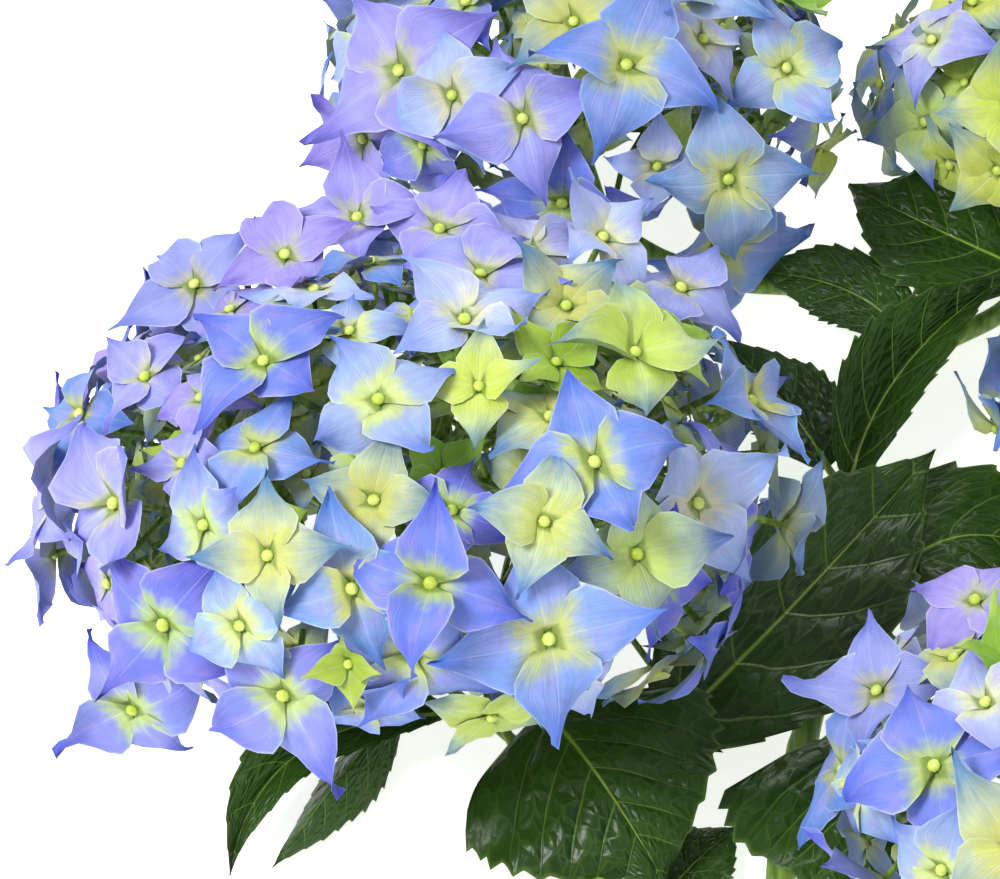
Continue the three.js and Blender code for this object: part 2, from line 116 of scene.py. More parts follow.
# %% Seen florets and their ages
LIME, LIME_EDGED, HALF, SKY, BLUE, DEEP, VIOLET, PALE = range(8)
SEEN_FLORETS = {
    "bloom_front": [
        (-7, 20, 41, 38, 0.93, SKY),
        (6, -24, 47, 76, 0.97, DEEP),
        (33, -9, 34, 72, 0.92, HALF),
        (55, -17, 41, 15, 0.92, HALF),
        (-30, -51, 45, 42, 0.90, BLUE),
        (-59, -34, 49, 57, 0.88, DEEP),
        (-8, -4, 36, 78, 0.86, HALF),
        (-13, -25, 40, 15, 0.86, BLUE),
        (-33, -17, 34, 4, 0.92, HALF),
        (-49, -10, 34, 20, 0.90, SKY),
        (-14, -43, 20, 5, 0.86, LIME),
        (1, -41, 45, 65, 0.84, BLUE),
        (34, -37, 50, 14, 0.89, BLUE),
        (17, 23, 32, 5, 0.92, LIME_EDGED),
        (13, 39, 41, 37, 0.93, PALE),
        (-35, 29, 40, 45, 0.92, DEEP),
        (-53, 47, 41, 32, 0.90, VIOLET),
        (-71, -5, 47, 24, 0.88, VIOLET),
        (45, 5, 45, 22, 0.97, DEEP),
        (81, 19, 40, 35, 0.88, BLUE),
        (69, -5, 45, 43, 0.86, PALE),
        (64, 46, 41, 62, 0.88, VIOLET),
        (-14, 63, 38, 5, 0.90, VIOLET),
        (28, 55, 34, 30, 0.88, PALE),
        (-40, -34, 32, 33, 0.88, SKY),
        (-64, 25, 34, 48, 0.88, VIOLET),
        (54, 31, 40, 10, 0.92, LIME_EDGED),
        (37, 42, 36, 60, 0.90, HALF),
        (6, 60, 40, 70, 0.90, VIOLET),
        (-31, 54, 40, 25, 0.90, VIOLET),
        (45, 58, 38, 50, 0.90, PALE),
        (-68, -55, 44, 35, 0.88, BLUE),
        (-80, 16, 36, 60, 0.86, DEEP),
    ],
    "bloom_top": [
        (11, -7, 50, 80, 0.95, BLUE),
        (39, -36, 47, 8, 0.95, SKY),
        (37, -48, 62, 70, 0.90, DEEP),
        (55, -5, 41, 30, 0.93, SKY),
        (-36, -14, 41, 20, 0.92, PALE),
        (-50, -6, 56, 28, 0.90, VIOLET),
        (-17, -21, 45, 15, 0.93, VIOLET),
        (-3, 6, 38, 40, 0.90, HALF),
        (28, 19, 47, 60, 0.95, SKY),
        (55, 16, 31, 20, 0.86, LIME),
        (64, -22, 31, 70, 0.88, LIME_EDGED),
        (-6, -42, 43, 88, 0.86, DEEP),
        (-59, -22, 36, 30, 0.86, VIOLET),
    ],
    "bloom_top_right": [
        (-24, -8, 38, 10, 0.93, LIME_EDGED),
        (-29, 23, 36, 30, 0.92, LIME_EDGED),
        (-41, 12, 38, 60, 0.90, PALE),
        (-26, -25, 32, 45, 0.90, LIME_EDGED),
    ],
    "bloom_low_right": [
        (-53, 8, 45, 5, 0.93, DEEP),
        (-37, -9, 45, 35, 0.93, HALF),
        (-40, 22, 36, 20, 0.90, PALE),
        (-36, 42, 40, 50, 0.90, VIOLET),
        (-33, 30, 31, 10, 0.88, LIME),
        (-60, 22, 40, 80, 0.88, VIOLET),
        (-52, -15, 36, 60, 0.88, SKY),
    ],
}

# %% [markdown]
# The limbs follow. A side limb is born on another limb, at a share of its length, and starts
# square to it.

# %% Limbs
LIMBS = {
    "main_stem": dict(radii=(CUT_RADIUS, 3.4), points=[
        (0, 0, 0), (0, 30, 0.1), (-3, 102, 2), (-18, 193, 4), (-23, 221, 5), (-27, 232, 6.5)]),
    "side_bough": dict(radii=(4.1, 2.7), born=("main_stem", 0.43, (1, 0, -0.1)), points=[
        (15, 114, 1), (24, 150, -0.5), (30, 202, -1), (43, 257, -1), (58, 322, -0.5),
        (72, 352, 0), (97, 369, 1), (106, 380, 3), (107, 389, 5.5)]),
    "shoot_low_right": dict(radii=(3.1, 2.6), born=("side_bough", 0.12, (1, 0, 0)), points=[
        (60, 141, 1), (82, 148, 3), (92, 155, 5)]),
    "shoot_right": dict(radii=(2.9, 2.4), born=("side_bough", 0.47, (1, 0, 0)), points=[
        (78, 273, -1.8), (103, 290, -1), (114, 298, 2)]),
    "shoot_top": dict(radii=(2.9, 2.4), born=("side_bough", 0.8, (-1, 0.4, -0.1)), points=[
        (62, 371, 0.3), (52, 378, 0.6), (38, 378, 1), (22, 379, 2), (6, 385, 4), (-5, 391, 6.5)]),
}

# %% Leaves
def leaf(limb, along, side, base, bend, tip, half, fold, face):
    return dict(limb=limb, along=along, side=side, base=base, bend=bend, tip=tip,
                half=half, fold=math.radians(fold), face=face)


LEAVES = {
    "leaf_front": leaf("main_stem", 0.965, (0.6, 0, 0.8),
                       (-29, 227, 15), (-16, 201, 29), (1, 181, 5), 37, -8, (0, -0.3, 1)),
    "leaf_broad_right": leaf("main_stem", 0.93, (0.95, -0.1, 0.3),
                             (0, 226, 4), (32, 255, 14), (73, 308, 17), 28, 11, (0.05, -0.45, 1)),
    "leaf_low_right": leaf("side_bough", 0.42, (0.8, -0.2, 0.5),
                           (47, 226, 6), (48, 200, 9), (46, 172, 3), 35, -5, (0.05, 0, 1)),
    "leaf_folded_left": leaf("main_stem", 0.93, (-0.95, 0.1, 0.1),
                             (-53, 231, 7), (-100, 224, 16), (-105, 190, -3.5), 14, 42, (0, -0.2, 1)),
    "leaf_narrow_left": leaf("main_stem", 0.975, (-0.6, 0, -0.8),
                             (-65, 233, 7), (-79, 211, 9), (-95, 193, -4), 12, -50, (0, 0, 1)),
    "leaf_far_right": leaf("side_bough", 0.53, (0.75, 0.1, 0.6),
                           (56, 268, 5), (77, 303, 9), (112, 276, 3), 25, 5, (0, 0, 1)),
    "leaf_top_right": leaf("side_bough", 0.955, (-0.7, -0.1, 0.7),
                           (103, 377, 9), (78, 383, 18), (56, 404, 14), 24, 6, (0, -0.2, 1)),
    "leaf_upper": leaf("side_bough", 0.82, (-0.2, 0, 1),
                       (69, 354, 8), (57, 376, 9), (27, 377, 8), 13, 8, (0, -0.3, 1)),
    "leaf_folded_right": leaf("side_bough", 0.63, (0.75, 0.1, 0.6),
                              (51, 303, 7), (59, 339, 15), (98, 371, 14), 17, 42, (0, 0, 1)),
    "leaf_young": leaf("main_stem", 0.74, (0.95, 0.2, -0.1),
                       (-4, 178, -1), (8, 194, 1), (19, 205, -3), 12, 6, (0, 0, 1)),
    "leaf_tucked": leaf("side_bough", 0.62, (-0.75, 0.2, 0.6),
                        (46, 311, 5), (38, 331, 8), (20, 357, 3), 15, 8, (0, 0, 1)),
    "leaf_lower_left": leaf("main_stem", 0.42, (-0.98, 0.1, 0.15),
                            (-24, 106, 3), (-58, 102, 12), (-100, 72, -4), 30, 8, (0, 0, 1)),
    "leaf_lower_right": leaf("shoot_low_right", 0.72, (0.2, -0.95, 0.2),
                             (84, 128, 3), (102, 102, 11), (124, 66, -4), 29, 8, (0, 0, 1)),
    "leaf_right_edge": leaf("shoot_right", 0.9, (0.5, -0.85, 0),
                            (138, 284, 1), (166, 282, 8), (203, 268, -4), 24, 8, (0, 0, 1)),
    "leaf_back_right": leaf("side_bough", 0.96, (0.95, -0.3, 0),
                            (134, 382, 4), (160, 382, 10), (196, 370, -4), 25, 8, (0, 0, 1)),
    "leaf_back": leaf("shoot_top", 0.72, (0.2, 0.9, 0.3),
                      (20, 400, 4), (20, 428, 9), (14, 468, -4), 19, 6, (0, 0, 1)),
    "leaf_back_left": leaf("shoot_top", 0.82, (-0.6, -0.75, 0.2),
                           (-18, 378, 3), (-46, 380, 8), (-84, 384, -4), 19, 6, (0, 0, 1)),
}
print("limbs", len(LIMBS), "leaves", len(LEAVES), "blooms", len(BLOOMS))

# %% [markdown]
# ## The camera
# The photograph looks down on the front bloom. The camera stands where that bloom fills the
# picture as it does there: far enough off that the blooms behind shrink by the right amount.
# A long lens is chosen over a near one, because the photograph shows little perspective.

# %% Directions of view
BACK = np.array([0, -math.cos(EYE_ELEVATION), math.sin(EYE_ELEVATION)])
UP = np.array([0, math.sin(EYE_ELEVATION), math.cos(EYE_ELEVATION)])
SIDE = np.array([1.0, 0, 0])
CROWN = np.array([0, math.sin(TILT), math.cos(TILT)])
FORWARD = np.cross(CROWN, SIDE)


def bloom_centre(bloom):
    lowest = bloom["reach"] * math.hypot(math.sin(TILT), FLATNESS * math.cos(TILT))
    return np.array([*bloom["at"], FLOOR + lowest * SETTLED])


# %% Camera
FRONT_BLOOM_PIXEL = (415, 480)
centre = bloom_centre(BLOOMS["bloom_front"])
right = (PHOTO[0] / 2 - FRONT_BLOOM_PIXEL[0]) * PIXEL
above = (FRONT_BLOOM_PIXEL[1] - PHOTO[1] / 2) * PIXEL
spot = centre + BACK * EYE_DISTANCE + SIDE * right + UP * above
lens = bpy.data.cameras.new("camera")
lens.sensor_width = 36
lens.lens = lens.sensor_width * EYE_DISTANCE / (PHOTO[0] * PIXEL)
lens.clip_start = 0.01
camera = bpy.data.objects.new("camera", lens)
camera.location = Vector(spot * MM)
camera.rotation_euler = (math.pi / 2 - EYE_ELEVATION, 0, 0)
bpy.context.scene.collection.objects.link(camera)
bpy.context.scene.camera = camera
print("lens", round(lens.lens, 1), "mm at", [round(x, 3) for x in camera.location])

# %% [markdown]
# ## Floor and light
# The branch lies on a plain white floor. Petals are thin and pale, so the light is broad: a bright
# sky all round, and one large soft lamp from the upper left that gives the florets their shading.

# %% Floor and lamps
def soft_lamp(name, place, size, watts):
    data = bpy.data.lights.new(name, "AREA")
    data.shape = "DISK"
    data.size = size
    data.energy = watts
    lamp = bpy.data.objects.new(name, data)
    lamp.location = place
    aim = Vector(centre * MM) - Vector(place)
    lamp.rotation_euler = aim.to_track_quat("-Z", "Y").to_euler()
    bpy.context.scene.collection.objects.link(lamp)


soft_lamp("key_lamp", (-0.75, -0.15, 1.15), 0.45, 17)
soft_lamp("fill_lamp", (1.0, -0.4, 0.9), 0.9, 4)
soft_lamp("back_lamp", (0.2, 1.5, 0.8), 0.8, 8)

world = bpy.data.worlds.new("sky")
world.use_nodes = True
world.node_tree.nodes["Background"].inputs["Color"].default_value = (1, 1, 1, 1)
world.node_tree.nodes["Background"].inputs["Strength"].default_value = 0.52
bpy.context.scene.world = world
bpy.context.scene.view_settings.view_transform = "Standard"

FLOOR_HALF, FLOOR_GAP = 6, 0.0005
floor_bm = bmesh.new()
bmesh.ops.create_grid(floor_bm, x_segments=1, y_segments=1, size=FLOOR_HALF)
bmesh.ops.translate(floor_bm, verts=floor_bm.verts, vec=(0, 0, cad_box[0][2] - FLOOR_GAP))
floor_mesh = bpy.data.meshes.new("floor")
floor_bm.to_mesh(floor_mesh)
floor_bm.free()
floor = bpy.data.objects.new("floor", floor_mesh)
bpy.context.scene.collection.objects.link(floor)

# %% [markdown]
# ## Material helpers
# Every finish here is made of nodes. `Nodes` keeps the wiring short: each call adds one node,
# sets or joins its inputs, and gives back its first output.

# %% Node helper
class Nodes:
    """Adds nodes to one tree, a material's or a group's."""

    def __init__(self, tree):
        self.tree = tree

    def add(self, kind, inputs=None, **settings):
        node = self.tree.nodes.new(kind)
        for key, value in settings.items():
            setattr(node, key, value)
        for key, value in (inputs or {}).items():
            if isinstance(value, bpy.types.NodeSocket):
                self.tree.links.new(value, node.inputs[key])
            else:
                node.inputs[key].default_value = value
        return node

    def math(self, operation, a, b=0.0, c=0.0, clamp=False):
        inputs = {0: a, 1: b, 2: c}
        return self.add("ShaderNodeMath", inputs, operation=operation, use_clamp=clamp).outputs[0]

    def smooth(self, value, low, high, to_low=0.0, to_high=1.0):
        inputs = {"Value": value, "From Min": low, "From Max": high, "To Min": to_low, "To Max": to_high}
        return self.add("ShaderNodeMapRange", inputs, interpolation_type="SMOOTHSTEP").outputs[0]

    def mix(self, factor, a, b, blend="MIX"):
        inputs = {0: factor, 6: a, 7: b}
        return self.add("ShaderNodeMix", inputs, data_type="RGBA", blend_type=blend).outputs[2]

    def tint(self, base, mask, strength, colour):
        """The base colour turned towards another one where the mask shows."""
        return self.mix(self.math("MULTIPLY", mask, strength), base, colour)

    def on_piece(self):
        return self.add("ShaderNodeTexCoord").outputs["Object"]

    def vector(self, x, y, z=0.0):
        return self.add("ShaderNodeCombineXYZ", {0: x, 1: y, 2: z}).outputs[0]

    def bump(self, strength, distance, height):
        inputs = {"Strength": strength, "Distance": distance, "Height": height}
        return self.add("ShaderNodeBump", inputs).outputs[0]

    def noise(self, vector, scale, detail=2.0):
        inputs = {"Vector": vector, "Scale": scale, "Detail": detail}
        return self.add("ShaderNodeTexNoise", inputs).outputs[0]

    def ramp(self, value, colours, interpolation="LINEAR"):
        node = self.add("ShaderNodeValToRGB", {0: value})
        node.color_ramp.interpolation = interpolation
        elements = node.color_ramp.elements
        while len(elements) < len(colours):
            elements.new(0.5)
        for element, (place, colour) in zip(elements, colours):
            element.position = place
            element.color = colour
        return node.outputs[0]


def rgb(red, green, blue):
    """A colour as seen on screen, 0 to 255, turned to the linear value that a shader takes."""
    def linear(x):
        x = x / 255
        return x / 12.92 if x <= 0.04045 else ((x + 0.055) / 1.055) ** 2.4
    return (linear(red), linear(green), linear(blue), 1.0)


def new_material(name):
    material = bpy.data.materials.new(name)
    material.use_nodes = True
    nodes = Nodes(material.node_tree)
    shader = material.node_tree.nodes["Principled BSDF"]
    return material, nodes, shader


def join(nodes, value, shader, socket):
    nodes.tree.links.new(value, shader.inputs[socket])


# %% [markdown]
# Petals, leaves and bark all vary softly from place to place, as living things do. That one effect
# is a node group, placed in each material with its own scale and strength.

# %% Mottle group
mottle = bpy.data.node_groups.new("mottle", "ShaderNodeTree")
for socket, way, kind in (("Vector", "INPUT", "NodeSocketVector"), ("Scale", "INPUT", "NodeSocketFloat"),
                          ("Strength", "INPUT", "NodeSocketFloat"), ("Value", "OUTPUT", "NodeSocketFloat")):
    mottle.interface.new_socket(socket, in_out=way, socket_type=kind)
inside = Nodes(mottle)
given = inside.add("NodeGroupInput").outputs
wide = inside.noise(given["Vector"], given["Scale"], 3.0)
centred = inside.math("SUBTRACT", wide, 0.5)
swing = inside.math("MULTIPLY_ADD", centred, given["Strength"], 1.0)
inside.add("NodeGroupOutput", {"Value": swing})


def mottled(nodes, vector, scale, strength):
    """A factor that wanders softly round 1, by up to about half the strength."""
    inputs = {"Vector": vector, "Scale": scale, "Strength": strength}
    return nodes.add("ShaderNodeGroup", inputs, node_tree=mottle).outputs[0]


# %% [markdown]
# ## Petal finish
# A hydrangea sepal is lime at its root and turns blue or violet towards its tip, with a crease along
# its middle and fine veins that spread from the root; a thin light edge along its rim is a painted
# highlight. One material holds every age: the petals carry a UV map of eight by eight tiles, where
# the column is the age and the row is a small change of hue, and the upper four rows are for the
# backs, which are paler.
# The tile's own across and along then say where on the petal a point lies. A soft lilac tinge
# comes and goes on all but the youngest petals.

# %% Petal material
TILES = 8
petal_material, n, shader = new_material("petals")
uv = n.add("ShaderNodeUVMap", uv_map="OFBake").outputs[0]
parts = n.add("ShaderNodeSeparateXYZ", {0: uv}).outputs
column = n.math("MULTIPLY", parts[0], TILES)
row = n.math("MULTIPLY", parts[1], TILES)
age = n.math("FLOOR", column)
line = n.math("FLOOR", row)
along = n.math("FRACT", column)
across = n.math("ABSOLUTE", n.math("MULTIPLY_ADD", n.math("FRACT", row), 2.0, -1.0))
back = n.math("GREATER_THAN", line, 3.5)
age_place = n.math("MULTIPLY_ADD", age, 1 / TILES, 0.5 / TILES)


def by_age(colours):
    steps = [(i / TILES, rgb(*colour)) for i, colour in enumerate(colours)]
    return n.ramp(age_place, steps, "CONSTANT")


root_colour = by_age([(146, 186, 24), (184, 208, 76), (192, 208, 104), (196, 212, 124),
                      (188, 204, 110), (176, 196, 100), (190, 196, 140), (212, 216, 172)])
middle_colour = by_age([(160, 194, 38), (194, 212, 120), (176, 196, 156), (144, 170, 210),
                        (120, 144, 216), (104, 126, 214), (150, 148, 220), (170, 184, 230)])
tip_colour = by_age([(166, 196, 62), (116, 150, 150), (80, 116, 176), (84, 114, 198),
                     (78, 104, 206), (72, 92, 196), (116, 110, 206), (128, 144, 222)])
# Where along the petal each age's lime root begins to fade, and where it has gone.
fades = [(0.55, 0.95), (0.28, 0.66), (0.16, 0.46), (0.10, 0.40),
         (0.09, 0.36), (0.08, 0.31), (0.02, 0.27), (0.08, 0.38)]
fade_steps = [(i / TILES, (*fade, 0, 1)) for i, fade in enumerate(fades)]
starts = n.add("ShaderNodeSeparateColor", {0: n.ramp(age_place, fade_steps, "CONSTANT")}).outputs
wander = n.noise(uv, 42.0, 3.0)
edge = n.math("MULTIPLY_ADD", n.math("SUBTRACT", wander, 0.5), 0.34, along)
to_middle = n.smooth(edge, starts[0], starts[1])
to_tip = n.smooth(edge, 0.36, 0.92)
lilac = n.smooth(n.noise(uv, 19.0, 2.0), 0.38, 0.70)
blush = n.mix(n.math("MULTIPLY", lilac, 0.42), middle_colour, rgb(170, 152, 222))
past_youth = n.math("GREATER_THAN", age, 2.5)
colour = n.mix(to_middle, root_colour, n.mix(past_youth, middle_colour, blush))
colour = n.mix(to_tip, colour, tip_colour)

hue = n.math("MULTIPLY_ADD", n.math("FRACT", n.math("MULTIPLY", line, 0.25)), 0.045, 0.478)
light = n.math("MULTIPLY_ADD", n.math("FRACT", n.math("MULTIPLY", line, 0.75)), 0.16, 0.92)
spread = n.math("DIVIDE", across, n.math("ADD", along, 0.35))
comb = n.vector(n.math("MULTIPLY", spread, 9.0), n.math("MULTIPLY", along, 1.6), line)
vein = n.smooth(n.noise(comb, 1.6, 2.0), 0.36, 0.66)
crease = n.smooth(across, 0.0, 0.07, 1.0, 0.0)
rim = n.smooth(across, 0.90, 1.0)
tone = n.add("ShaderNodeHueSaturation", {"Hue": hue, "Value": light, "Color": colour}).outputs[0]
tone = n.tint(tone, vein, 0.13, rgb(66, 84, 186))
tone = n.tint(tone, crease, 0.14, rgb(206, 216, 244))
# Painted highlight: the border of each sepal is paled to a thin light edge.
tone = n.tint(tone, rim, 0.40, rgb(222, 232, 246))
tone = n.tint(tone, back, 0.22, rgb(196, 206, 238))
# Painted shade: each sepal's root is darkened green round the foot of the button that sits on it.
tone = n.mix(n.smooth(along, 0.06, 0.115, 0.75, 0.0), tone, rgb(104, 132, 40))
blotch = mottled(n, uv, 24.0, 0.62)
tone = n.mix(1.0, tone, n.vector(blotch, blotch, blotch), "MULTIPLY")
join(n, tone, shader, "Base Color")
join(n, n.math("MULTIPLY_ADD", vein, 0.12, 0.50), shader, "Roughness")
height = n.math("MULTIPLY_ADD", vein, 0.5, n.math("MULTIPLY", crease, -1.0))
join(n, n.bump(0.35, 0.0004, height), shader, "Normal")
print("petal nodes", len(petal_material.node_tree.nodes))

# %% [markdown]
# ## Button and stalk finishes
# The button at a floret's middle is a waxy lime bead. The painted shade round its foot lies on the
# sepals' roots, in the petal material. Stalks and stems are the same green skin at two scales:
# pale, with faint lengthwise streaks and small pale pores.

# %% Button material
button_material, n, shader = new_material("buttons")
place = n.on_piece()
swing = mottled(n, place, 260.0, 0.6)
colour = n.mix(n.smooth(swing, 0.85, 1.15), rgb(176, 200, 60), rgb(222, 234, 130))
join(n, colour, shader, "Base Color")
shader.inputs["Roughness"].default_value = 0.38


# %% Skin of stalks and stems
def skin_material(name, light, dark, streaks, pores):
    material, n, shader = new_material(name)
    place = n.on_piece()
    stretched = n.add("ShaderNodeMapping", {0: place, "Scale": (1.0, 0.12, 1.0)}).outputs[0]
    streak = n.noise(stretched, streaks, 3.0)
    swing = mottled(n, place, 40.0, 0.3)
    factor = n.math("MULTIPLY", n.smooth(streak, 0.35, 0.65), swing, clamp=True)
    colour = n.mix(factor, dark, light)
    cells = n.add("ShaderNodeTexVoronoi", {"Vector": stretched, "Scale": pores})
    dot = n.smooth(cells.outputs["Distance"], 0.08, 0.16, 1.0, 0.0)
    colour = n.tint(colour, dot, 0.45, rgb(190, 196, 130))
    join(n, colour, shader, "Base Color")
    join(n, n.math("MULTIPLY_ADD", streak, 0.2, 0.42), shader, "Roughness")
    height = n.math("MULTIPLY_ADD", dot, 0.8, streak)
    join(n, n.bump(0.4, 0.0004, height), shader, "Normal")
    return material


stem_material = skin_material("stems", rgb(142, 170, 74), rgb(84, 116, 40), 420.0, 330.0)
stalk_material = skin_material("stalks", rgb(138, 168, 66), rgb(88, 120, 40), 700.0, 500.0)

# %% [markdown]
# ## Leaf finish
# The leaf is deep green and satin above, with pale midrib and side veins and a fine net between
# them that puckers the blade; below it is paler and matt. The blade's UV map runs along the veins:
# the left half of the map is the upper side and the right half the lower one, and the rows run
# from one margin through the midrib to the other. So the veins can be drawn as straight lines.

# %% Leaf material
SIDE_VEINS = 7
leaf_material, n, shader = new_material("leaves")
uv = n.add("ShaderNodeUVMap", uv_map="OFBake").outputs[0]
place = n.on_piece()
parts = n.add("ShaderNodeSeparateXYZ", {0: uv}).outputs
under = n.math("GREATER_THAN", parts[0], 0.5)
along = n.math("FRACT", n.math("MULTIPLY", parts[0], 2.0))
signed = n.math("MULTIPLY_ADD", parts[1], 2.0, -1.0)
across = n.math("ABSOLUTE", signed)
wobble = n.math("MULTIPLY_ADD", n.noise(place, 60.0, 2.0), 0.26, -0.13)
phase = n.math("ADD", n.math("MULTIPLY", along, SIDE_VEINS), wobble)
gap = n.math("ABSOLUTE", n.math("SUBTRACT", n.math("FRACT", phase), 0.5))
side_vein = n.math("MULTIPLY", n.smooth(gap, 0.0, 0.042, 1.0, 0.0), n.smooth(across, 0.55, 1.0, 1.0, 0.15))
midrib = n.smooth(across, 0.0, n.math("MULTIPLY_ADD", along, -0.02, 0.04), 1.0, 0.0)
sheet = n.vector(n.math("MULTIPLY", phase, 2.0), n.math("MULTIPLY", signed, 7.0))
net = n.add("ShaderNodeTexVoronoi", {"Vector": sheet, "Scale": 1.0}, feature="DISTANCE_TO_EDGE").outputs[0]
fine = n.smooth(net, 0.0, 0.07, 1.0, 0.0)
swing = mottled(n, place, 30.0, 1.1)
green = n.mix(n.smooth(swing, 0.7, 1.3), rgb(27, 51, 12), rgb(48, 80, 21))
green = n.tint(green, fine, 0.26, rgb(84, 116, 40))
green = n.tint(green, side_vein, 0.62, rgb(112, 146, 58))
green = n.mix(midrib, green, rgb(138, 170, 58))
green = n.tint(green, n.smooth(across, 0.96, 1.0), 0.3, rgb(120, 150, 72))
green = n.tint(green, under, 0.62, rgb(112, 142, 66))
join(n, green, shader, "Base Color")
wrinkle = n.noise(place, 620.0, 2.0)
rough = n.math("MULTIPLY_ADD", under, 0.28, n.math("MULTIPLY_ADD", swing, 0.08, 0.24))
join(n, rough, shader, "Roughness")
height = n.math("MULTIPLY_ADD", n.smooth(net, 0.0, 0.45), 1.0, n.math("MULTIPLY", wrinkle, 0.22))
height = n.math("MULTIPLY_ADD", side_vein, -0.7, height)
join(n, n.bump(0.5, 0.0008, height), shader, "Normal")
shader.inputs["Specular IOR Level"].default_value = 0.26
print("leaf nodes", len(leaf_material.node_tree.nodes))

# %% [markdown]
# The floor is a sheet lit a little from within, like a photographer's light table, so that the
# shadows under the leaves stay pale.

# %% Floor material
floor_material, n, shader = new_material("floor")
place = n.on_piece()
colour = n.mix(n.noise(place, 3.0), (0.90, 0.90, 0.90, 1), (0.93, 0.93, 0.93, 1))
join(n, colour, shader, "Base Color")
shader.inputs["Roughness"].default_value = 0.9
shader.inputs["Emission Color"].default_value = (1, 1, 1, 1)
shader.inputs["Emission Strength"].default_value = 0.72
floor_material.cycles.emission_sampling = "NONE"
floor_mesh.materials.append(floor_material)

# %% [markdown]
# ## Templates
# Petals and leaves are thin closed sheets. One template serves both: a grid for the upper side, a
# copy turned over for the lower side, and the two borders merged, so the sheet is closed without
# a wall. As there are over a thousand petals, each has only a few dozen faces: those in front get
# eight steps along, and the smaller ones further in six.
# In the template X runs along, Y across, and Z only says which side a point is on.

# %% Thin sheet template
class Template:
    """The points and faces of a small mesh, as arrays that can be placed many times."""

    def __init__(self, bm):
        bm.verts.index_update()
        self.points = np.array([v.co[:] for v in bm.verts])
        self.sides = np.array([len(f.verts) for f in bm.faces])
        self.corners = np.array([v.index for f in bm.faces for v in f.verts])
        self.under = np.array([float(f.calc_center_median().z < 0) for f in bm.faces for v in f.verts])
        bm.free()


def sheet_template(lengthwise, crosswise):
    bm = bmesh.new()
    bmesh.ops.create_grid(bm, x_segments=lengthwise, y_segments=crosswise, size=0.5)
    turned = bmesh.ops.duplicate(bm, geom=bm.verts[:] + bm.edges[:] + bm.faces[:])
    copies = {g for g in turned["geom"] if isinstance(g, bmesh.types.BMVert)}
    lower = [g for g in turned["geom"] if isinstance(g, bmesh.types.BMFace)]
    bmesh.ops.reverse_faces(bm, faces=lower)
    inner = [v for v in bm.verts if not v.is_boundary]
    bmesh.ops.translate(bm, verts=[v for v in inner if v not in copies], vec=(0, 0, 1))
    bmesh.ops.translate(bm, verts=[v for v in inner if v in copies], vec=(0, 0, -1))
    bmesh.ops.remove_doubles(bm, verts=bm.verts, dist=1e-5)
    return Template(bm)


petal_sheet = sheet_template(8, 4)
inner_sheet = sheet_template(6, 4)
print("petal faces", len(petal_sheet.sides), "inner petal faces", len(inner_sheet.sides))

# %% [markdown]
# Stalks and limbs share a tube template: a ring that is drawn out in steps and capped. Its Z runs
# from 0 to 1 along the tube. The button is a small ball.

# %% Tube and ball templates
def tube_template(around, steps):
    bm = bmesh.new()
    bmesh.ops.create_circle(bm, cap_ends=False, segments=around, radius=1)
    edges = bm.edges[:]
    for _ in range(steps):
        drawn = bmesh.ops.extrude_edge_only(bm, edges=edges)["geom"]
        ring = [g for g in drawn if isinstance(g, bmesh.types.BMVert)]
        edges = [g for g in drawn if isinstance(g, bmesh.types.BMEdge) and all(v in ring for v in g.verts)]
        bmesh.ops.translate(bm, verts=ring, vec=(0, 0, 1 / steps))
    bmesh.ops.holes_fill(bm, edges=[e for e in bm.edges if e.is_boundary], sides=around)
    bmesh.ops.recalc_face_normals(bm, faces=bm.faces)
    return Template(bm)


def ball_template(around, rings):
    bm = bmesh.new()
    bmesh.ops.create_uvsphere(bm, u_segments=around, v_segments=rings, radius=1)
    return Template(bm)


button_ball = ball_template(8, 6)
print("button faces", len(button_ball.sides))

# %% [markdown]
# A finished piece is one object whose points already lie where they belong. This function takes
# the points of many copies of a template and makes that one object of them.

# %% Making a piece
def make_piece(name, template, copies, material, nodes=(), tiles=None):
    """copies is an array of point sets, one for each copy of the template, in millimetres."""
    count, size = copies.shape[0], copies.shape[1]
    points = copies.reshape(-1, 3) * MM
    corners = (template.corners[None, :] + np.arange(count)[:, None] * size).ravel()
    sides = np.tile(template.sides, count)
    mesh = bpy.data.meshes.new(name)
    mesh.vertices.add(len(points))
    mesh.vertices.foreach_set("co", points.ravel())
    mesh.loops.add(len(corners))
    mesh.loops.foreach_set("vertex_index", corners)
    mesh.polygons.add(len(sides))
    mesh.polygons.foreach_set("loop_start", np.concatenate([[0], np.cumsum(sides)[:-1]]))
    if tiles is not None:
        layer = mesh.uv_layers.new(name="OFBake")
        layer.data.foreach_set("uv", tiles.ravel())
    mesh.update(calc_edges=True)
    mesh.polygons.foreach_set("use_smooth", np.full(len(sides), True))
    mesh.materials.append(material)
    piece = bpy.data.objects.new(name, mesh)
    bpy.context.scene.collection.objects.link(piece)
    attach(piece, "root")
    if nodes:
        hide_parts(*nodes)
    return piece


def sharpen_rims(piece, rim, count):
    """Keeps the light on a thin sheet from bleeding round its border."""
    mesh = piece.data
    on_rim = np.tile(rim, count)
    ends = np.empty(len(mesh.edges) * 2, dtype=np.int64)
    mesh.edges.foreach_get("vertices", ends)
    ends = ends.reshape(-1, 2)
    mesh.edges.foreach_set("use_edge_sharp", on_rim[ends[:, 0]] & on_rim[ends[:, 1]])


# %% [markdown]
# ## Curves
# A limb is a smooth curve through its points. The curve is worked out here rather than with a
# curve object, because the leaves and stalks ask it for places along its length.

# %% Smooth curve
SAMPLES_A_SPAN = 24
STEP = 0.01


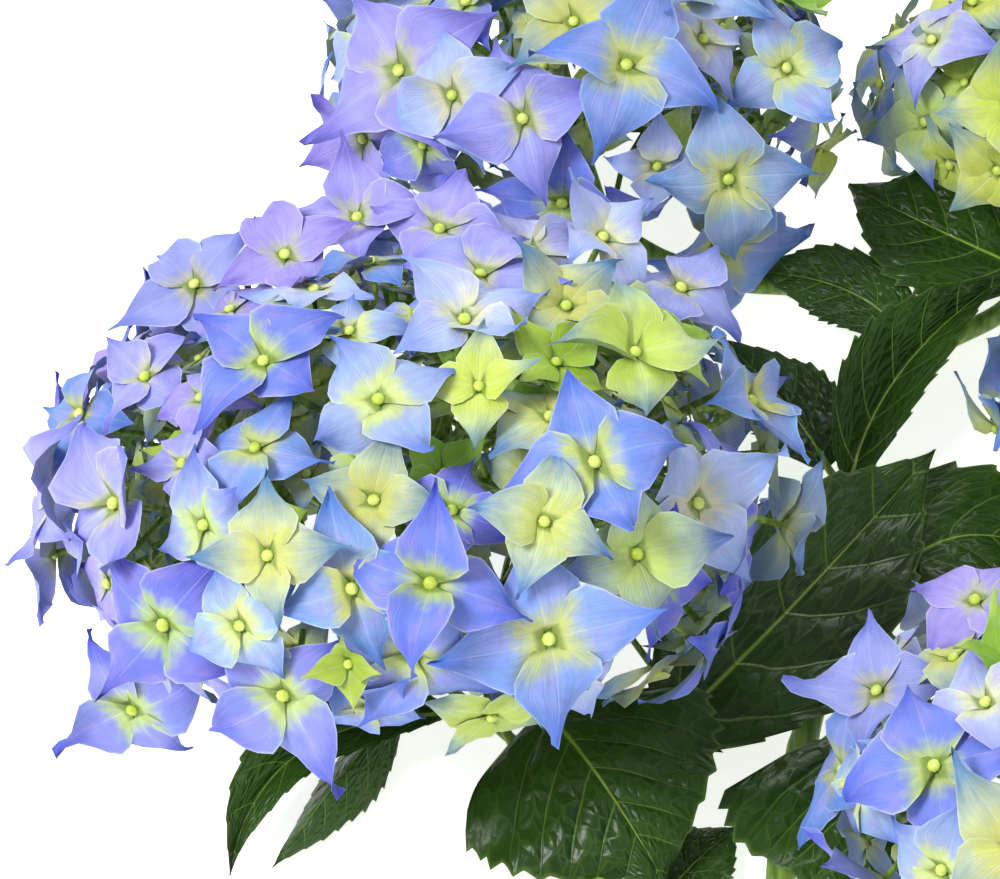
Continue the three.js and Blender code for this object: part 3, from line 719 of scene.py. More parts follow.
class Smooth:
    """A centripetal curve through points, asked by share of its length."""

    def __init__(self, points):
        p = np.array(points, dtype=float)
        p = np.vstack([2 * p[0] - p[1], p, 2 * p[-1] - p[-2]])
        samples = []
        for i in range(1, len(p) - 2):
            p0, p1, p2, p3 = p[i - 1:i + 3]
            t1 = np.linalg.norm(p1 - p0) ** 0.5
            t2 = t1 + np.linalg.norm(p2 - p1) ** 0.5
            t3 = t2 + np.linalg.norm(p3 - p2) ** 0.5
            t = np.linspace(t1, t2, SAMPLES_A_SPAN, endpoint=False)[:, None]
            a1 = (t1 - t) / t1 * p0 + t / t1 * p1
            a2 = (t2 - t) / (t2 - t1) * p1 + (t - t1) / (t2 - t1) * p2
            a3 = (t3 - t) / (t3 - t2) * p2 + (t - t2) / (t3 - t2) * p3
            b1 = (t2 - t) / t2 * a1 + t / t2 * a2
            b2 = (t3 - t) / (t3 - t1) * a2 + (t - t1) / (t3 - t1) * a3
            samples.append((t2 - t) / (t2 - t1) * b1 + (t - t1) / (t2 - t1) * b2)
        self.samples = np.vstack(samples + [p[-2][None, :]])
        steps = np.linalg.norm(np.diff(self.samples, axis=0), axis=1)
        self.run = np.concatenate([[0], np.cumsum(steps)])
        self.length = self.run[-1]

    def at(self, share):
        where = np.atleast_1d(share) * self.length
        return np.stack([np.interp(where, self.run, self.samples[:, k]) for k in range(3)], axis=-1)

    def way(self, share):
        share = np.atleast_1d(share)
        ahead = self.at(np.minimum(share + STEP, 1.0))
        behind = self.at(np.maximum(share - STEP, 0.0))
        return unit(ahead - behind)


def unit(vectors):
    return vectors / np.linalg.norm(vectors, axis=-1, keepdims=True)


def thickness(name, share):
    """A limb's radius at a share of its length, from its thick end to its thin one."""
    thick, thin = LIMBS[name]["radii"]
    return thick + (thin - thick) * share


def seat_on(on, along, side):
    """Where a stalk or side limb starts on its bearer, and the way it leaves."""
    curve = CURVES[on]
    way = curve.way(along)[0]
    out = np.array(side, dtype=float)
    out = unit(out - way * out.dot(way))
    return curve.at(along)[0] + out * (thickness(on, along) + CLEARANCE), out


SQUARE_START = 6
CURVES = {}
for name, limb in LIMBS.items():
    points = [np.array(p, dtype=float) for p in limb["points"]]
    if "born" in limb:
        start, out = seat_on(*limb["born"])
        points = [start, start + out * SQUARE_START] + points
    CURVES[name] = Smooth(points)
print("lengths", {name: round(curve.length) for name, curve in CURVES.items()})


# %% Sweeping a tube along a curve
NEARLY_UP = np.array([0.03, 0.02, 1.0])


def swept(template, curve, radius_at, ripple=None):
    """The tube template's points laid along a curve; radius_at takes the share of its length."""
    share = template.points[:, 2]
    way = curve.way(share)
    first = unit(np.cross(way, NEARLY_UP))
    second = np.cross(way, first)
    radius = radius_at(share)[:, None]
    if ripple is not None:
        radius = radius * ripple(np.arctan2(template.points[:, 1], template.points[:, 0]), share)[:, None]
    ends = template.points[:, :1] * first + template.points[:, 1:2] * second
    return curve.at(share) + ends * radius


# %% [markdown]
# ## Stems
# The stems are round and green, thicker at each joint where a pair of leaves sits, and slightly
# ribbed. A swept tube with a ripple does that; the same ripple on all limbs keeps them of one kind.

# %% Bark of the limbs
JOINT_SWELLING, JOINT_LENGTH = 0.16, 4.0
RING_SIDES, RING_STEP = 20, 1.6
RIBS, RIB_HEIGHT, BUMP_HEIGHT = 6, 0.012, 0.008
LEVEL = 0.985


def joints_of(name):
    places = [plan["along"] for plan in LEAVES.values() if plan["limb"] == name]
    places += [limb["born"][1] for limb in LIMBS.values() if "born" in limb and limb["born"][0] == name]
    return places


def bark_of(name):
    """The points of one limb's bark, and the tube template that they belong to."""
    curve = CURVES[name]
    swelling = JOINT_SWELLING * LIMBS[name]["radii"][1]

    def radius_at(share):
        radius = thickness(name, share)
        for place in joints_of(name):
            radius = radius + swelling * np.exp(-((share - place) * curve.length / JOINT_LENGTH) ** 2)
        return radius

    def ripple(turn, share):
        run = share * curve.length
        ribs = RIB_HEIGHT * np.sin(RIBS * turn + run * 0.03)
        bumps = BUMP_HEIGHT * np.sin(3 * turn + run * 0.35) * np.sin(run * 0.21)
        return LEVEL + ribs + bumps

    tube = tube_template(RING_SIDES, int(curve.length / RING_STEP))
    return tube, swept(tube, curve, radius_at, ripple)


for name in LIMBS:
    tube, points = bark_of(name)
    piece = make_piece("bark_" + name, tube, points[None], stem_material, [name])
    print(piece.name, len(piece.data.polygons), "faces")


# %% [markdown]
# ## Leaf blades
# A blade is ovate with a drawn-out tip and coarse teeth that point forward. The grid lines of the
# sheet are laid along the side veins: they leave the midrib at a slant and run to the margin, so
# the relief and the teeth follow the veins. The blade is then bent along the midrib's curve.

# %% Outline of a blade
ARCH = 0.50
TOOTH_DEPTH = 0.10
BASE_FAN = 0.16
HALVINGS = 30


def ovate(u):
    """The blade's half width at a share of its length, 1 where it is widest."""
    u = np.clip(u, 0.0, 1.0)
    return np.sin(np.pi * u ** 0.78) ** 0.8 * (1 - 0.8 * u ** 6)


def advance(run, slant, half):
    """How far along the blade a side vein has come: it leaves at a slant and arches to the tip."""
    return run * np.cos(slant) + ARCH * run ** 2 / half


def vein_lines(half, length, lines, teeth):
    """For each grid line: where it leaves the midrib, its slant, and its run to the margin."""
    share = np.linspace(0, 1, lines)
    fan = BASE_FAN
    # The first lines fan out backwards from the base; after them the slant grows ever more forward.
    root = np.where(share < fan, 0.012 + 0.05 * share, 0.02 + 0.97 * (share - fan) / (1 - fan))
    slant = np.where(share < fan, 2.1 - 0.95 * share / fan, 1.15 - 0.40 * (share - fan) / (1 - fan))
    low = np.zeros(lines)
    high = np.full(lines, 2.0 * half)
    for _ in range(HALVINGS):
        run = (low + high) / 2
        x = root + advance(run, slant, half) / length
        notch = TOOTH_DEPTH * (1 - ((x * teeth) % 1.0) ** 1.5) * (x > 0.04)
        inside = run * np.sin(slant) < half * ovate(x) * (1 - notch) * (x > 0) * (x < 1)
        low = np.where(inside, run, low)
        high = np.where(inside, high, run)
    return root, slant, np.maximum(low, 0.5)


# %% Relief and bending of a blade
BLADE_THICKNESS, RIM_THICKNESS = 0.55, 0.12
PUCKER, PUCKER_AT_HALF = 1.1, 30
GROOVE_DEPTH, GROOVE_WIDTH = 0.45, 1.1
RIB_HEIGHT_BELOW, RIB_WIDTH_BELOW = 1.1, 1.0
LONG_WAVE, SHORT_WAVE = 0.045, 0.018


def midrib_of(plan):
    """The midrib as a curve: from the base, drawn towards the bend, to the tip."""
    base, bend, tip = [np.array(plan[key], dtype=float) for key in ("base", "bend", "tip")]
    knots = np.linspace(0, 1, 11)[:, None]
    return Smooth((1 - knots) ** 2 * base + 2 * knots * (1 - knots) * bend + knots ** 2 * tip)


def blade_relief(half, vein_phase, v, side, share, sideways, seed):
    """How far each point stands off the folded blade: puckers, wavy edge, groove, rib, thickness."""
    pillow = np.sin(np.pi * ((vein_phase + 0.5) % 1.0)) ** 0.7
    body = np.clip(np.abs(v) * 4, 0, 1) * np.clip((1 - np.abs(v)) * 3, 0, 1)
    puckers = PUCKER * (half / PUCKER_AT_HALF) * (pillow - 0.5) * body
    phase = np.random.default_rng(seed).uniform(0, 6.28, 4)
    edge_wave = np.sin(share * 15 + phase[0] + np.sign(v)) * LONG_WAVE * half * np.abs(v) ** 2
    edge_wave += np.sin(share * 31 + phase[1] + 2 * np.sign(v)) * SHORT_WAVE * half * np.abs(v) ** 3
    groove = -GROOVE_DEPTH * np.exp(-(sideways / GROOVE_WIDTH) ** 2)
    rib_below = RIB_HEIGHT_BELOW * np.exp(-(sideways / RIB_WIDTH_BELOW) ** 2) * (1 - 0.8 * share)
    thick = BLADE_THICKNESS * np.clip((1 - np.abs(v)) * 6, 0, 1) + RIM_THICKNESS
    lift = puckers + edge_wave + np.where(side > 0, groove, 0) - np.where(side < 0, rib_below, 0)
    return lift + side * thick * 0.5


def blade_points(template, plan, lines, teeth, seed):
    """The blade's points: laid out flat along its veins, then folded, bent and given its relief."""
    x, y, side = template.points.T
    index = np.rint((x + 0.5) * (lines - 1)).astype(int)
    v = 2 * y
    midrib = midrib_of(plan)
    length = midrib.length
    root, slant, run = vein_lines(plan["half"], length, lines, teeth)
    reach = run[index] * np.abs(v)
    forward = advance(reach, slant[index], plan["half"])
    sideways = reach * np.sin(slant[index]) * np.sign(v)
    share = np.clip(root[index] + forward / length, 0.0, 1.0)
    over = np.maximum(root[index] + forward / length - 1.0, 0.0) * length
    way = midrib.way(share)
    face = np.array(plan["face"], dtype=float)
    across = unit(np.cross(way, face))
    up = np.cross(across, way)
    points = midrib.at(share) + way * over[:, None]
    fold = plan["fold"]
    vein_phase = (index / (lines - 1) * SIDE_VEINS) % 1.0
    lift = blade_relief(plan["half"], vein_phase, v, side, share, sideways, seed)
    points = points + across * (sideways * math.cos(fold))[:, None]
    points = points + up * (np.abs(sideways) * math.sin(fold) + lift)[:, None]
    points[:, 2] = np.maximum(points[:, 2], FLOOR + 0.5 + 0.3 * side)
    return points, midrib


def blade_tiles(template):
    """The blade's map: the upper side on its left half, the lower side on its right half."""
    along = template.points[template.corners, 0] + 0.5
    across = template.points[template.corners, 1] + 0.5
    along = np.clip(along, 0.002, 0.998)
    return np.stack([(along + template.under) / 2, across], axis=-1)


# %% Leaves and their stalks
# Grid lines along and columns across, and teeth on each side.
GRID = {"leaf_front": (121, 40, 13), "leaf_broad_right": (121, 40, 13)}
PLAIN_GRID = (81, 24, 12)
LEAD_MOST, LEAD_SHARE = 12, 0.35
INTO_BLADE, BELOW_BLADE = 0.12, 0.6
stalk_tube = tube_template(8, 14)
stalks = []
for seed, (name, plan) in enumerate(LEAVES.items()):
    lines, columns, teeth = GRID.get(name, PLAIN_GRID)
    sheet_grid = sheet_template(lines - 1, columns)
    points, midrib = blade_points(sheet_grid, plan, lines, teeth, seed)
    piece = make_piece(name.replace("leaf_", "blade_"), sheet_grid, points[None], leaf_material,
                       [name], blade_tiles(sheet_grid))
    sharpen_rims(piece, sheet_grid.points[:, 2] == 0, 1)
    start, out = seat_on(plan["limb"], plan["along"], plan["side"])
    base = midrib.at(0)[0]
    lead = min(LEAD_MOST, np.linalg.norm(base - start) * LEAD_SHARE)
    run = midrib.way(0.02)[0]
    under_blade = midrib.at(INTO_BLADE)[0] - [0, 0, BELOW_BLADE]
    route = Smooth([start, start + out * lead * 0.5, base - run * lead, base, under_blade])
    stalks.append(swept(stalk_tube, route, lambda share: PETIOLE_RADIUS * (1 - 0.45 * share)))
stalk_piece = make_piece("leaf_stalks", stalk_tube, np.stack(stalks), stalk_material)
print("leaves", len(LEAVES), "stalk faces", len(stalk_piece.data.polygons))

# %% [markdown]
# ## Where the florets sit
# The rule is the one of the solid model. Florets stand on a flattened dome that leans back, along a
# spiral that turns by the golden angle, which spreads points evenly as flower heads do. Each bloom
# first takes the florets that were read from the photograph, and the spiral fills the rest.

# %% Seeded numbers
class Seeded:
    """The small generator that the solid model also draws from, so both give the same florets."""

    def __init__(self, seed):
        self.state = seed

    def draw(self):
        self.state = (self.state + 0x6D2B79F5) & 0xFFFFFFFF
        t = self.state
        t = ((t ^ (t >> 15)) * (1 | t)) & 0xFFFFFFFF
        t = ((t + (((t ^ (t >> 7)) * (61 | t)) & 0xFFFFFFFF)) & 0xFFFFFFFF) ^ t
        return ((t ^ (t >> 14)) & 0xFFFFFFFF) / 4294967296


# %% The dome and its spiral
DEPTH_RANGE = 0.05
SPAN_LEAST, SPAN_RANGE = 36, 12
SPACING, CLOSEST = 2.05, 0.75
SCALE_ROUNDS, DEPTH_HALVINGS = 4, 24


def space_share(bloom, offset):
    """1 on the surface of the bloom's space, less inside; offsets may be one or many."""
    rise = offset @ CROWN
    level = np.linalg.norm(offset - np.multiply.outer(rise, CROWN), axis=-1)
    return np.hypot(rise / (bloom["reach"] * FLATNESS), level / bloom["reach"])


def space_normal(offset):
    """The way straight out of the bloom's space at an offset from its middle."""
    rise = offset @ CROWN
    return unit(offset - rise * CROWN + CROWN * rise / FLATNESS ** 2)


def seen_place(bloom, right, up, depth):
    """Where the line of sight at right and up from the bloom's middle reaches the given depth."""
    near = 0.0
    for _ in range(SCALE_ROUNDS):
        scale = 1 - near / EYE_DISTANCE
        flat = SIDE * right * scale + UP * up * scale
        low, high = 0.0, float(bloom["reach"])
        for _ in range(DEPTH_HALVINGS):
            near = (low + high) / 2
            if space_share(bloom, flat + BACK * near) < depth:
                low = near
            else:
                high = near
    return flat + BACK * near


def spiral(bloom, count, edge):
    """Places spread evenly over the dome, from its crown down to an edge given as an angle."""
    for i in range(count):
        drop = 1 - (1 - math.cos(edge)) * (i + 0.5) / count
        ring = math.sqrt(1 - drop * drop)
        turn = i * GOLDEN_ANGLE
        yield (SIDE * ring * math.cos(turn) + FORWARD * ring * math.sin(turn)
               + CROWN * drop * FLATNESS) * bloom["reach"]


def is_free(place, florets, gap):
    return not any(np.linalg.norm(other["place"] - place) < gap for other in florets)


def florets_of(name, bloom):
    """The florets of the solid model: first the seen ones, then the spiral where there is room."""
    draw = Seeded(bloom["seed"]).draw
    florets = []
    for right, up, span, turn, depth, age in SEEN_FLORETS.get(name, []):
        place = seen_place(bloom, right, up, depth)
        florets.append(dict(place=place, span=span, turn=turn, facing=BACK, age=age, read=True))
    spacing = bloom["reach"] * SPACING / math.sqrt(bloom["florets"])
    for place in spiral(bloom, bloom["florets"], DOME_EDGE):
        place = place * (FLORET_DEPTH + DEPTH_RANGE * draw())
        span = SPAN_LEAST + SPAN_RANGE * draw()
        turn = 90 * draw()
        if is_free(place, florets, spacing * CLOSEST):
            florets.append(dict(place=place, span=span, turn=turn, facing=space_normal(place), age=None))
    return florets


# %% [markdown]
# The solid model stops there. A real bloom is closer set, so younger, smaller florets now fill the
# gaps a little deeper down, again along a spiral, each kept a set distance from the others. Florets
# that would push through a leaf or a limb are drawn in and made smaller, or left out. The ones
# read from the photograph are first raised towards the eye, so that they still show. All florets
# face outwards from the bloom, and these also lean towards the eye near its upper and lower edge.

# %% Filling in, and keeping clear
ROOM_BY_LIMB, ROOM_BY_LEAF, ROOM_ABOVE_FLOOR = 1.5, 2.6, 0.4
LIMB_STEP, LEAF_STEP = 4, 7
LEAN, LEAN_BELOW, LEAN_ABOVE, OUTWARD = 0.25, 1.5, 0.6, 0.75
TRIES, RAISE_STEP, RAISE_MOST = 20, 2, 24
SHRINK, DRAW_IN = 0.93, 0.95
# For each layer: florets in a bloom of 100 mm reach, depth, least and greatest span, distance kept.
FILL_LAYERS = [(190, 0.82, 28, 40, 16.5), (250, 0.68, 16, 30, 12.5)]
FILL_EDGE = math.radians(128)


def occupied_places():
    """Places on the limbs and leaves that exist already, each with the room that it needs."""
    places = []
    for name, curve in CURVES.items():
        for share in np.linspace(0, 1, int(curve.length / LIMB_STEP)):
            places.append((curve.at(share)[0], thickness(name, share) + ROOM_BY_LIMB))
    for name in LEAVES:
        vertices = bpy.data.objects[name.replace("leaf_", "blade_")].data.vertices
        points = np.empty(len(vertices) * 3)
        vertices.foreach_get("co", points)
        places += [(point, ROOM_BY_LEAF) for point in points.reshape(-1, 3)[::LEAF_STEP] / MM]
    return places


taken = occupied_places()
tree = kdtree.KDTree(len(taken))
for i, (place, _) in enumerate(taken):
    tree.insert(place, i)
tree.balance()


def touches(point):
    _, index, distance = tree.find(point)
    return distance < taken[index][1] or point[2] < FLOOR + ROOM_ABOVE_FLOOR


def axes_of(floret):
    """The way that a floret faces, and two ways square to it."""
    lean = LEAN
    if floret.get("read"):
        rise = floret["place"] @ UP / np.linalg.norm(floret["place"])
        lean += (LEAN_BELOW if rise < 0 else LEAN_ABOVE) * rise ** 2
    axis = unit(floret["facing"] * lean + space_normal(floret["place"]) * OUTWARD)
    guide = CROWN if abs(axis[0]) > 0.9 else SIDE
    first = unit(guide - axis * axis.dot(guide))
    return axis, first, np.cross(axis, first)


def kept_clear(middle, floret):
    """Moves and shrinks a floret until nothing touches it, and says whether that was possible."""
    for _ in range(TRIES):
        _, first, second = axes_of(floret)
        hub = middle + floret["place"]
        probes = [hub]
        for k in range(8):
            turn = math.radians(floret["turn"] + 45 * k)
            arm = floret["span"] / 2 * (1.0 if k % 2 == 0 else 0.6)
            probes.append(hub + (first * math.cos(turn) + second * math.sin(turn)) * arm)
        if not any(touches(probe) for probe in probes):
            return True
        if floret.get("read") and floret.setdefault("raised", 0) < RAISE_MOST:
            floret["raised"] += RAISE_STEP
            floret["place"] = floret["place"] + BACK * RAISE_STEP
            continue
        floret["span"] *= SHRINK
        floret["place"] = floret["place"] * DRAW_IN
    return False


def filled_in(bloom, florets):
    draw = Seeded(bloom["seed"] + 1000).draw
    for layer, (density, depth, low, high, gap) in enumerate(FILL_LAYERS):
        count = int(density * (bloom["reach"] / 100) ** 2)
        for place in spiral(bloom, count, FILL_EDGE):
            place = place * (depth + DEPTH_RANGE * draw())
            span = low + (high - low) * draw()
            turn = 90 * draw()
            if is_free(place, florets, gap):
                florets.append(dict(place=place, span=span, turn=turn, facing=space_normal(place),
                                    age=None, layer=layer + 1))
    return florets


# %% [markdown]
# Ages are dealt out by where a floret sits: violet on the shaded left of the front bloom and along
# its top, blue in front, lime in a young patch to the right, and lime or half blue deep down. For
# each of these the list says up to which chance an age is given.

# %% Ages
AGES = {
    "anywhere": ((0.06, LIME_EDGED), (0.20, HALF), (0.42, SKY), (0.72, BLUE), (0.90, DEEP), (1, PALE)),
    "violet side": ((0.65, VIOLET), (1, DEEP)),
    "young patch": ((0.42, LIME_EDGED), (0.5, LIME), (1, HALF)),
    "young bloom": ((0.3, LIME_EDGED), (0.55, HALF), (0.75, PALE), (1, BLUE)),
    "deep in front": ((0.35, LIME), (0.75, LIME_EDGED), (1, HALF)),
    "deep behind": ((0.10, LIME), (0.45, LIME_EDGED), (1, HALF)),
}


VIOLET_LEFT, VIOLET_ABOVE = -0.42, 0.45
PATCH_RIGHT, PATCH_RISE = (0.15, 0.62), (0.02, 0.45)


def age_list(name, deep, right, rise):
    front = name == "bloom_front"
    if deep:
        return AGES["deep in front" if front else "deep behind"]
    if front and (right < VIOLET_LEFT or rise > VIOLET_ABOVE):
        return AGES["violet side"]
    if front and PATCH_RIGHT[0] < right < PATCH_RIGHT[1] and PATCH_RISE[0] < rise < PATCH_RISE[1]:
        return AGES["young patch"]
    return AGES["young bloom" if name == "bloom_top_right" else "anywhere"]


def deal_ages(name, bloom, florets):
    draw = Seeded(bloom["seed"] + 2000).draw
    for floret in florets:
        chance = draw()
        if floret["age"] is None:
            right = floret["place"][0] / bloom["reach"]
            rise = floret["place"] @ UP / bloom["reach"]
            steps = age_list(name, floret.get("layer") == 2, right, rise)
            floret["age"] = next(age for edge, age in steps if chance < edge)


# %% [markdown]
# ## Sepals, buttons and stalks
# A sepal is broad a little before its middle and ends in a drawn-out point. Seen from the side its
# midline is an arc: it rises from the button and bends back towards the tip, or forward in a young
# floret. Its halves fold along the crease, more so at the tip. Each sepal gets its own arc, fold,
# twist and wavy margin, within the ranges that the photograph shows. All of this is arithmetic on
# one template, for all sepals of a bloom's layer at once.

# %% Shaping the sepals
PETAL_THICKNESS = 0.32
WIDEST = 0.33
PAIR_DROP = 0.7
CURLING_UP, FOLDED_BACK = 0.16, 0.65
# Each sepal draws its own value between a least and a greatest: sizes as shares, angles in radians.
LENGTHS, HALF_WIDTHS, FULLNESS = (0.98, 1.16), (0.34, 0.44), (0.9, 1.15)
RISE, RISE_YOUNG = (0.10, 0.80), (0.5, 0.9)
TIP_CURLED, TIP_GROWN, TIP_YOUNG = (0.3, 1.0), (-1.25, -0.1), (0.2, 1.3)
TIP_FOLD_BACK, TIP_FOLD_FORWARD, ROOT_FOLD = (-1.1, -0.3), (0.3, 0.9), (0.10, 0.45)
CUP, WAVE, TWIST, VEER = (-0.30, 0.30), (0.03, 0.10), (-0.8, 0.8), (-0.16, 0.16)


def sepal_outline(u):
    """A sepal's width at a share of its length, 1 where it is widest: hollow near a drawn-out tip."""
    rising = np.sin(np.clip((u + 0.03) / (WIDEST + 0.03), 0, 1) * math.pi / 2) ** 0.85
    rest = np.clip((u - WIDEST) / (1 - WIDEST), 0, 1)
    return rising * (1 - rest) ** 1.7 * (1 + 0.7 * rest) + 0.06 * rest * (1 - u ** 8)


def sepal_points(template, sepals, rng):
    """sepals holds one row for each sepal: hub, axis, arm, span, whether it is lowered, youth, calm."""
    count = len(sepals["hub"])
    u = (template.points[:, 0] + 0.5)[None, :]
    v = (2 * template.points[:, 1])[None, :]
    side = template.points[:, 2][None, :]
    youth = sepals["youth"][:, None]

    def spread(low, high):
        return rng.uniform(low, high, count)[:, None]

    calm = sepals["calm"][:, None]
    length = (sepals["span"] / 2)[:, None] * spread(*LENGTHS)
    half = length * spread(*HALF_WIDTHS)
    width = half * sepal_outline(u ** spread(*FULLNESS))
    rise_angle = (spread(*RISE) * (1 - youth) + spread(*RISE_YOUNG) * youth) * calm
    curls_up = (spread(0, 1) < CURLING_UP) & (calm == 1)
    grown_tip = np.where(curls_up, spread(*TIP_CURLED), spread(*TIP_GROWN))
    tip_angle = grown_tip * (1 - youth) + spread(*TIP_YOUNG) * youth
    bend = tip_angle - rise_angle
    bend = np.where(np.abs(bend) < 0.05, 0.05, bend)
    slope = rise_angle + bend * u
    along = length * (np.sin(slope) - np.sin(rise_angle)) / bend + 0.03 * length
    rise = -length * (np.cos(slope) - np.cos(rise_angle)) / bend - sepals["lowered"][:, None] * PAIR_DROP
    crease = np.where(spread(0, 1) < FOLDED_BACK, spread(*TIP_FOLD_BACK), spread(*TIP_FOLD_FORWARD))
    fold = spread(*ROOT_FOLD) * (1 - u) + crease * u ** 1.5
    cross = v * width * np.cos(fold * np.minimum(u * 3, 1))
    lift = np.abs(v) * width * np.sin(fold) + spread(*CUP) * (v * width) ** 2 / half
    wave = np.sin(6.28 * (1.5 * u + spread(0, 1)) + spread(-1.5, 1.5) * np.sign(v))
    lift = lift + spread(*WAVE) * length * wave * v ** 2 * u
    twist = spread(*TWIST) * u ** 1.5
    cross, lift = cross * np.cos(twist) - lift * np.sin(twist), lift * np.cos(twist) + cross * np.sin(twist)
    cross = cross + spread(*VEER) * length * u ** 2
    lift = lift + side * PETAL_THICKNESS / 2
    along = along - np.sin(slope) * lift
    rise = rise + np.cos(slope) * lift
    tangent = np.cross(sepals["axis"], sepals["arm"])
    return (sepals["hub"][:, None, :] + sepals["arm"][:, None, :] * along[:, :, None]
            + tangent[:, None, :] * cross[:, :, None] + sepals["axis"][:, None, :] * rise[:, :, None])


# %% [markdown]
# Neighbouring florets must not run through each other or stand out of the bloom. Seen florets that
# cross are parted along the line of sight, so they keep their places in the view. Once its sepals
# have their shape, a floret that reaches past the bloom's space, or higher than the solid model by
# more than a little, is set back as one stiff whole, because bending it would spoil that shape.

# %% Keeping florets apart and inside
PARTING_ROUNDS, INWARD_ROUNDS = 4, 3
CROSSING_SHARE, CROSSING_DEPTH = 0.4, 5
STEP_NEARER, STEP_FURTHER = 1.0, 0.6
OUTERMOST, OUTERMOST_SEEN = 1.02, 1.55
ABOVE_SOLIDS, ABOVE_FLOOR = 6.0, 0.2
HIGHEST = cad_box[1][2] / MM + ABOVE_SOLIDS


def parted(florets):
    """Where two of the seen florets cross, the nearer one is moved towards the eye."""
    seen = [floret for floret in florets if floret.get("read")]
    for _ in range(PARTING_ROUNDS):
        for i, one in enumerate(seen):
            for other in seen[:i]:
                gap = one["place"] - other["place"]
                crossing = np.linalg.norm(gap) <= CROSSING_SHARE * (one["span"] + other["span"])
                if crossing and abs(gap @ BACK) <= CROSSING_DEPTH:
                    nearer, further = (one, other) if gap @ BACK > 0 else (other, one)
                    nearer["place"] = nearer["place"] + BACK * STEP_NEARER
                    further["place"] = further["place"] - BACK * STEP_FURTHER


def moved(florets, floret_points, shift):
    """Moves each floret's hub, and gives its points moved by as much."""
    for floret, move in zip(florets, shift):
        floret["hub"] = floret["hub"] + move
    return floret_points + shift[:, None, :]


def drawn_in(bloom, middle, points, florets):
    """Moves each floret that reaches out of the bloom's space back in, as one stiff whole."""
    floret_points = points.reshape(len(florets), -1, 3)
    outermost = np.array([OUTERMOST_SEEN if floret.get("read") else OUTERMOST for floret in florets])
    for _ in range(INWARD_ROUNDS):
        offset = floret_points - middle
        excess = np.maximum(space_share(bloom, offset).max(axis=1) - outermost, 0)
        outward = np.array([space_normal(floret["place"]) for floret in florets])
        size = np.array([np.linalg.norm(floret["place"]) for floret in florets])
        floret_points = moved(florets, floret_points, -outward * (excess * size)[:, None])
    above = np.maximum(floret_points[..., 2].max(axis=1) - HIGHEST, 0)
    floret_points = moved(florets, floret_points, -BACK * (above / BACK[2])[:, None])
    flat = floret_points.reshape(points.shape)
    flat[..., 2] = np.maximum(flat[..., 2], FLOOR + ABOVE_FLOOR)
    return flat


def petal_tiles(template, ages, rows):
    """The petals' map: each one's tile is its age across and its hue row up, with backs four higher."""
    along = np.clip(template.points[template.corners, 0] + 0.5, 0.01, 0.99)
    across = np.clip(template.points[template.corners, 1] + 0.5, 0.01, 0.99)
    tile_x = (ages[:, None] + along[None, :]) / TILES
    tile_y = (rows[:, None] + 4 * template.under[None, :] + across[None, :]) / TILES
    return np.stack([tile_x, tile_y], axis=-1)


# %% [markdown]
# A bloom is grown in two layers: the outer one is the solid model's florets, and the inner one is
# the fill. The inner sepals are calmer in shape and have fewer faces, as little of them shows.
# Each floret also sways a little off its own way, and those read from the photograph least.

# %% Growing a bloom
YOUTH = [0.75, 0.35, 0.1, 0, 0, 0, 0, 0]
SWAY_SEEN, SWAY_INNER, SWAY_OUTER = 0.12, 0.18, 0.34
INNER_CALM = 0.45
BEAD_LEAST, BEAD_BY_SPAN = 0.8, 0.018
BEAD_FLATNESS, BEAD_HEIGHT = 0.7, 0.7


def sepals_of(middle, florets, rng):
    """What each sepal needs to be shaped and coloured: arrays with one row for each, four to a floret."""
    sepals = []
    for floret in florets:
        axis, first, second = axes_of(floret)
        sway = SWAY_SEEN if floret.get("read") else SWAY_INNER if floret.get("layer") else SWAY_OUTER
        tilt = rng.uniform(-sway, sway, 2)
        axis = unit(axis + first * tilt[0] + second * tilt[1])
        first = unit(np.cross(second, axis))
        second = np.cross(axis, first)
        row = rng.integers(0, 4)
        floret["hub"] = middle + floret["place"]
        floret["axis"] = axis
        for k in range(4):
            turn = math.radians(floret["turn"] + 90 * k) + rng.uniform(-sway, sway) / 2
            arm = first * math.cos(turn) + second * math.sin(turn)
            sepals.append(dict(hub=floret["hub"], axis=axis, arm=arm, span=floret["span"], lowered=k % 2,
                               age=floret["age"], row=row, youth=YOUTH[floret["age"]],
                               calm=INNER_CALM if floret.get("layer") else 1.0))
    return {key: np.array([sepal[key] for sepal in sepals], dtype=float) for key in sepals[0]}


def grow_bloom(name, bloom):
    """Makes a bloom's two petal pieces, and gives its florets for the buttons and stalks."""
    middle = bloom_centre(bloom)
    florets = filled_in(bloom, florets_of(name, bloom))
    florets = [floret for floret in florets if kept_clear(middle, floret)]
    parted(florets)
    deal_ages(name, bloom, florets)
    rng = np.random.default_rng(bloom["seed"])
    outer = [floret for floret in florets if not floret.get("layer")]
    inner = [floret for floret in florets if floret.get("layer")]
    layers = ((outer, petal_sheet, "petals_", [name]), (inner, inner_sheet, "inner_petals_", []))
    for part, sheet, title, nodes in layers:
        sepals = sepals_of(middle, part, rng)
        points = drawn_in(bloom, middle, sepal_points(sheet, sepals, rng), part)
        tiles = petal_tiles(sheet, sepals["age"], sepals["row"])
        title = title + name.removeprefix("bloom_")
        petals = make_piece(title, sheet, points, petal_material, nodes, tiles)
        sharpen_rims(petals, sheet.points[:, 2] == 0, len(points))
    print(name, len(outer), "outer and", len(inner), "inner florets")
    return florets


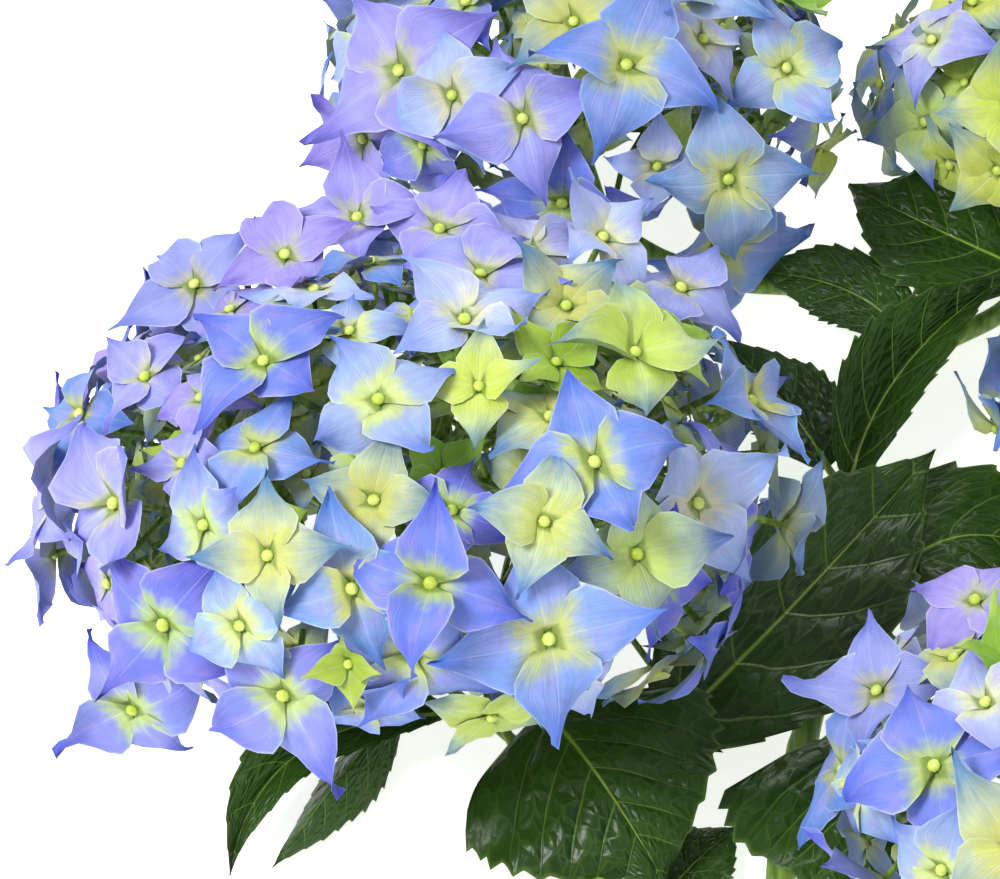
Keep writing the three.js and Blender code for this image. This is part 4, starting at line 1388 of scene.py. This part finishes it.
def bead_points(florets):
    """The button ball of each floret, a little flattened and set on top of the sepals' roots."""
    beads = []
    for floret in florets:
        _, first, second = axes_of(floret)
        bead = button_ball.points * (BEAD_LEAST + BEAD_BY_SPAN * floret["span"])
        beads.append(floret["hub"] + bead[:, :1] * first + bead[:, 1:2] * second
                     + (bead[:, 2:] * BEAD_FLATNESS + BEAD_HEIGHT) * floret["axis"])
    return np.stack(beads)


# %% [markdown]
# Under the florets the stem fans into a few rays, and each ray into thin stalks, one to a floret.
# They show in the gaps and from below, where a bloom is open.

# %% Rays and floret stalks
ray_tube = tube_template(7, 8)
thin_tube = tube_template(5, 4)
RAYS = 12
RAY_EDGE = math.radians(112)
HEART_DEPTH, FORK_DEPTH = 0.42, 0.5
STALK_BOW = 9.0
RAY_RADIUS, RAY_TAPER = 1.9, 0.8
STALK_RADIUS, STALK_GROWTH = 0.75, 0.15


def fan_of(bloom, florets):
    """The stub of stem, the rays and the floret stalks of a bloom, as point sets of the tubes."""
    limb = LIMBS[bloom["limb"]]
    middle = bloom_centre(bloom)
    way = CURVES[bloom["limb"]].way(1.0)[0]
    start = np.array(limb["points"][-1]) + way * CLEARANCE
    heart = middle - CROWN * bloom["reach"] * FLATNESS * HEART_DEPTH
    radius = limb["radii"][1]
    stub = Smooth([start, start + way * 4, heart])
    rays = [swept(ray_tube, stub, lambda share: radius * (1 - 0.25 * share))]
    forks = []
    for place in spiral(bloom, RAYS, RAY_EDGE):
        fork = middle + place * FORK_DEPTH
        forks.append(fork)
        bow = heart + (fork - heart) * 0.5 + CROWN * 4
        rays.append(swept(ray_tube, Smooth([heart, bow, fork]), lambda share: RAY_RADIUS - RAY_TAPER * share))
    forks = np.array(forks)
    thin = []
    for floret in florets:
        fork = forks[np.argmin(np.linalg.norm(forks - floret["hub"], axis=1))]
        foot = floret["hub"] - floret["axis"] * 0.6
        bow = foot - floret["axis"] * min(STALK_BOW, np.linalg.norm(foot - fork) * 0.4)
        curve = Smooth([fork, bow, foot])
        thin.append(swept(thin_tube, curve, lambda share: STALK_RADIUS + STALK_GROWTH * share))
    return rays, thin


for name, bloom in BLOOMS.items():
    short = name.removeprefix("bloom_")
    florets = grow_bloom(name, bloom)
    make_piece("buttons_" + short, button_ball, bead_points(florets), button_material)
    rays, thin = fan_of(bloom, florets)
    make_piece("rays_" + short, ray_tube, np.stack(rays), stalk_material)
    make_piece("floret_stalks_" + short, thin_tube, np.stack(thin), stalk_material)
    print(name, len(florets), "florets in all")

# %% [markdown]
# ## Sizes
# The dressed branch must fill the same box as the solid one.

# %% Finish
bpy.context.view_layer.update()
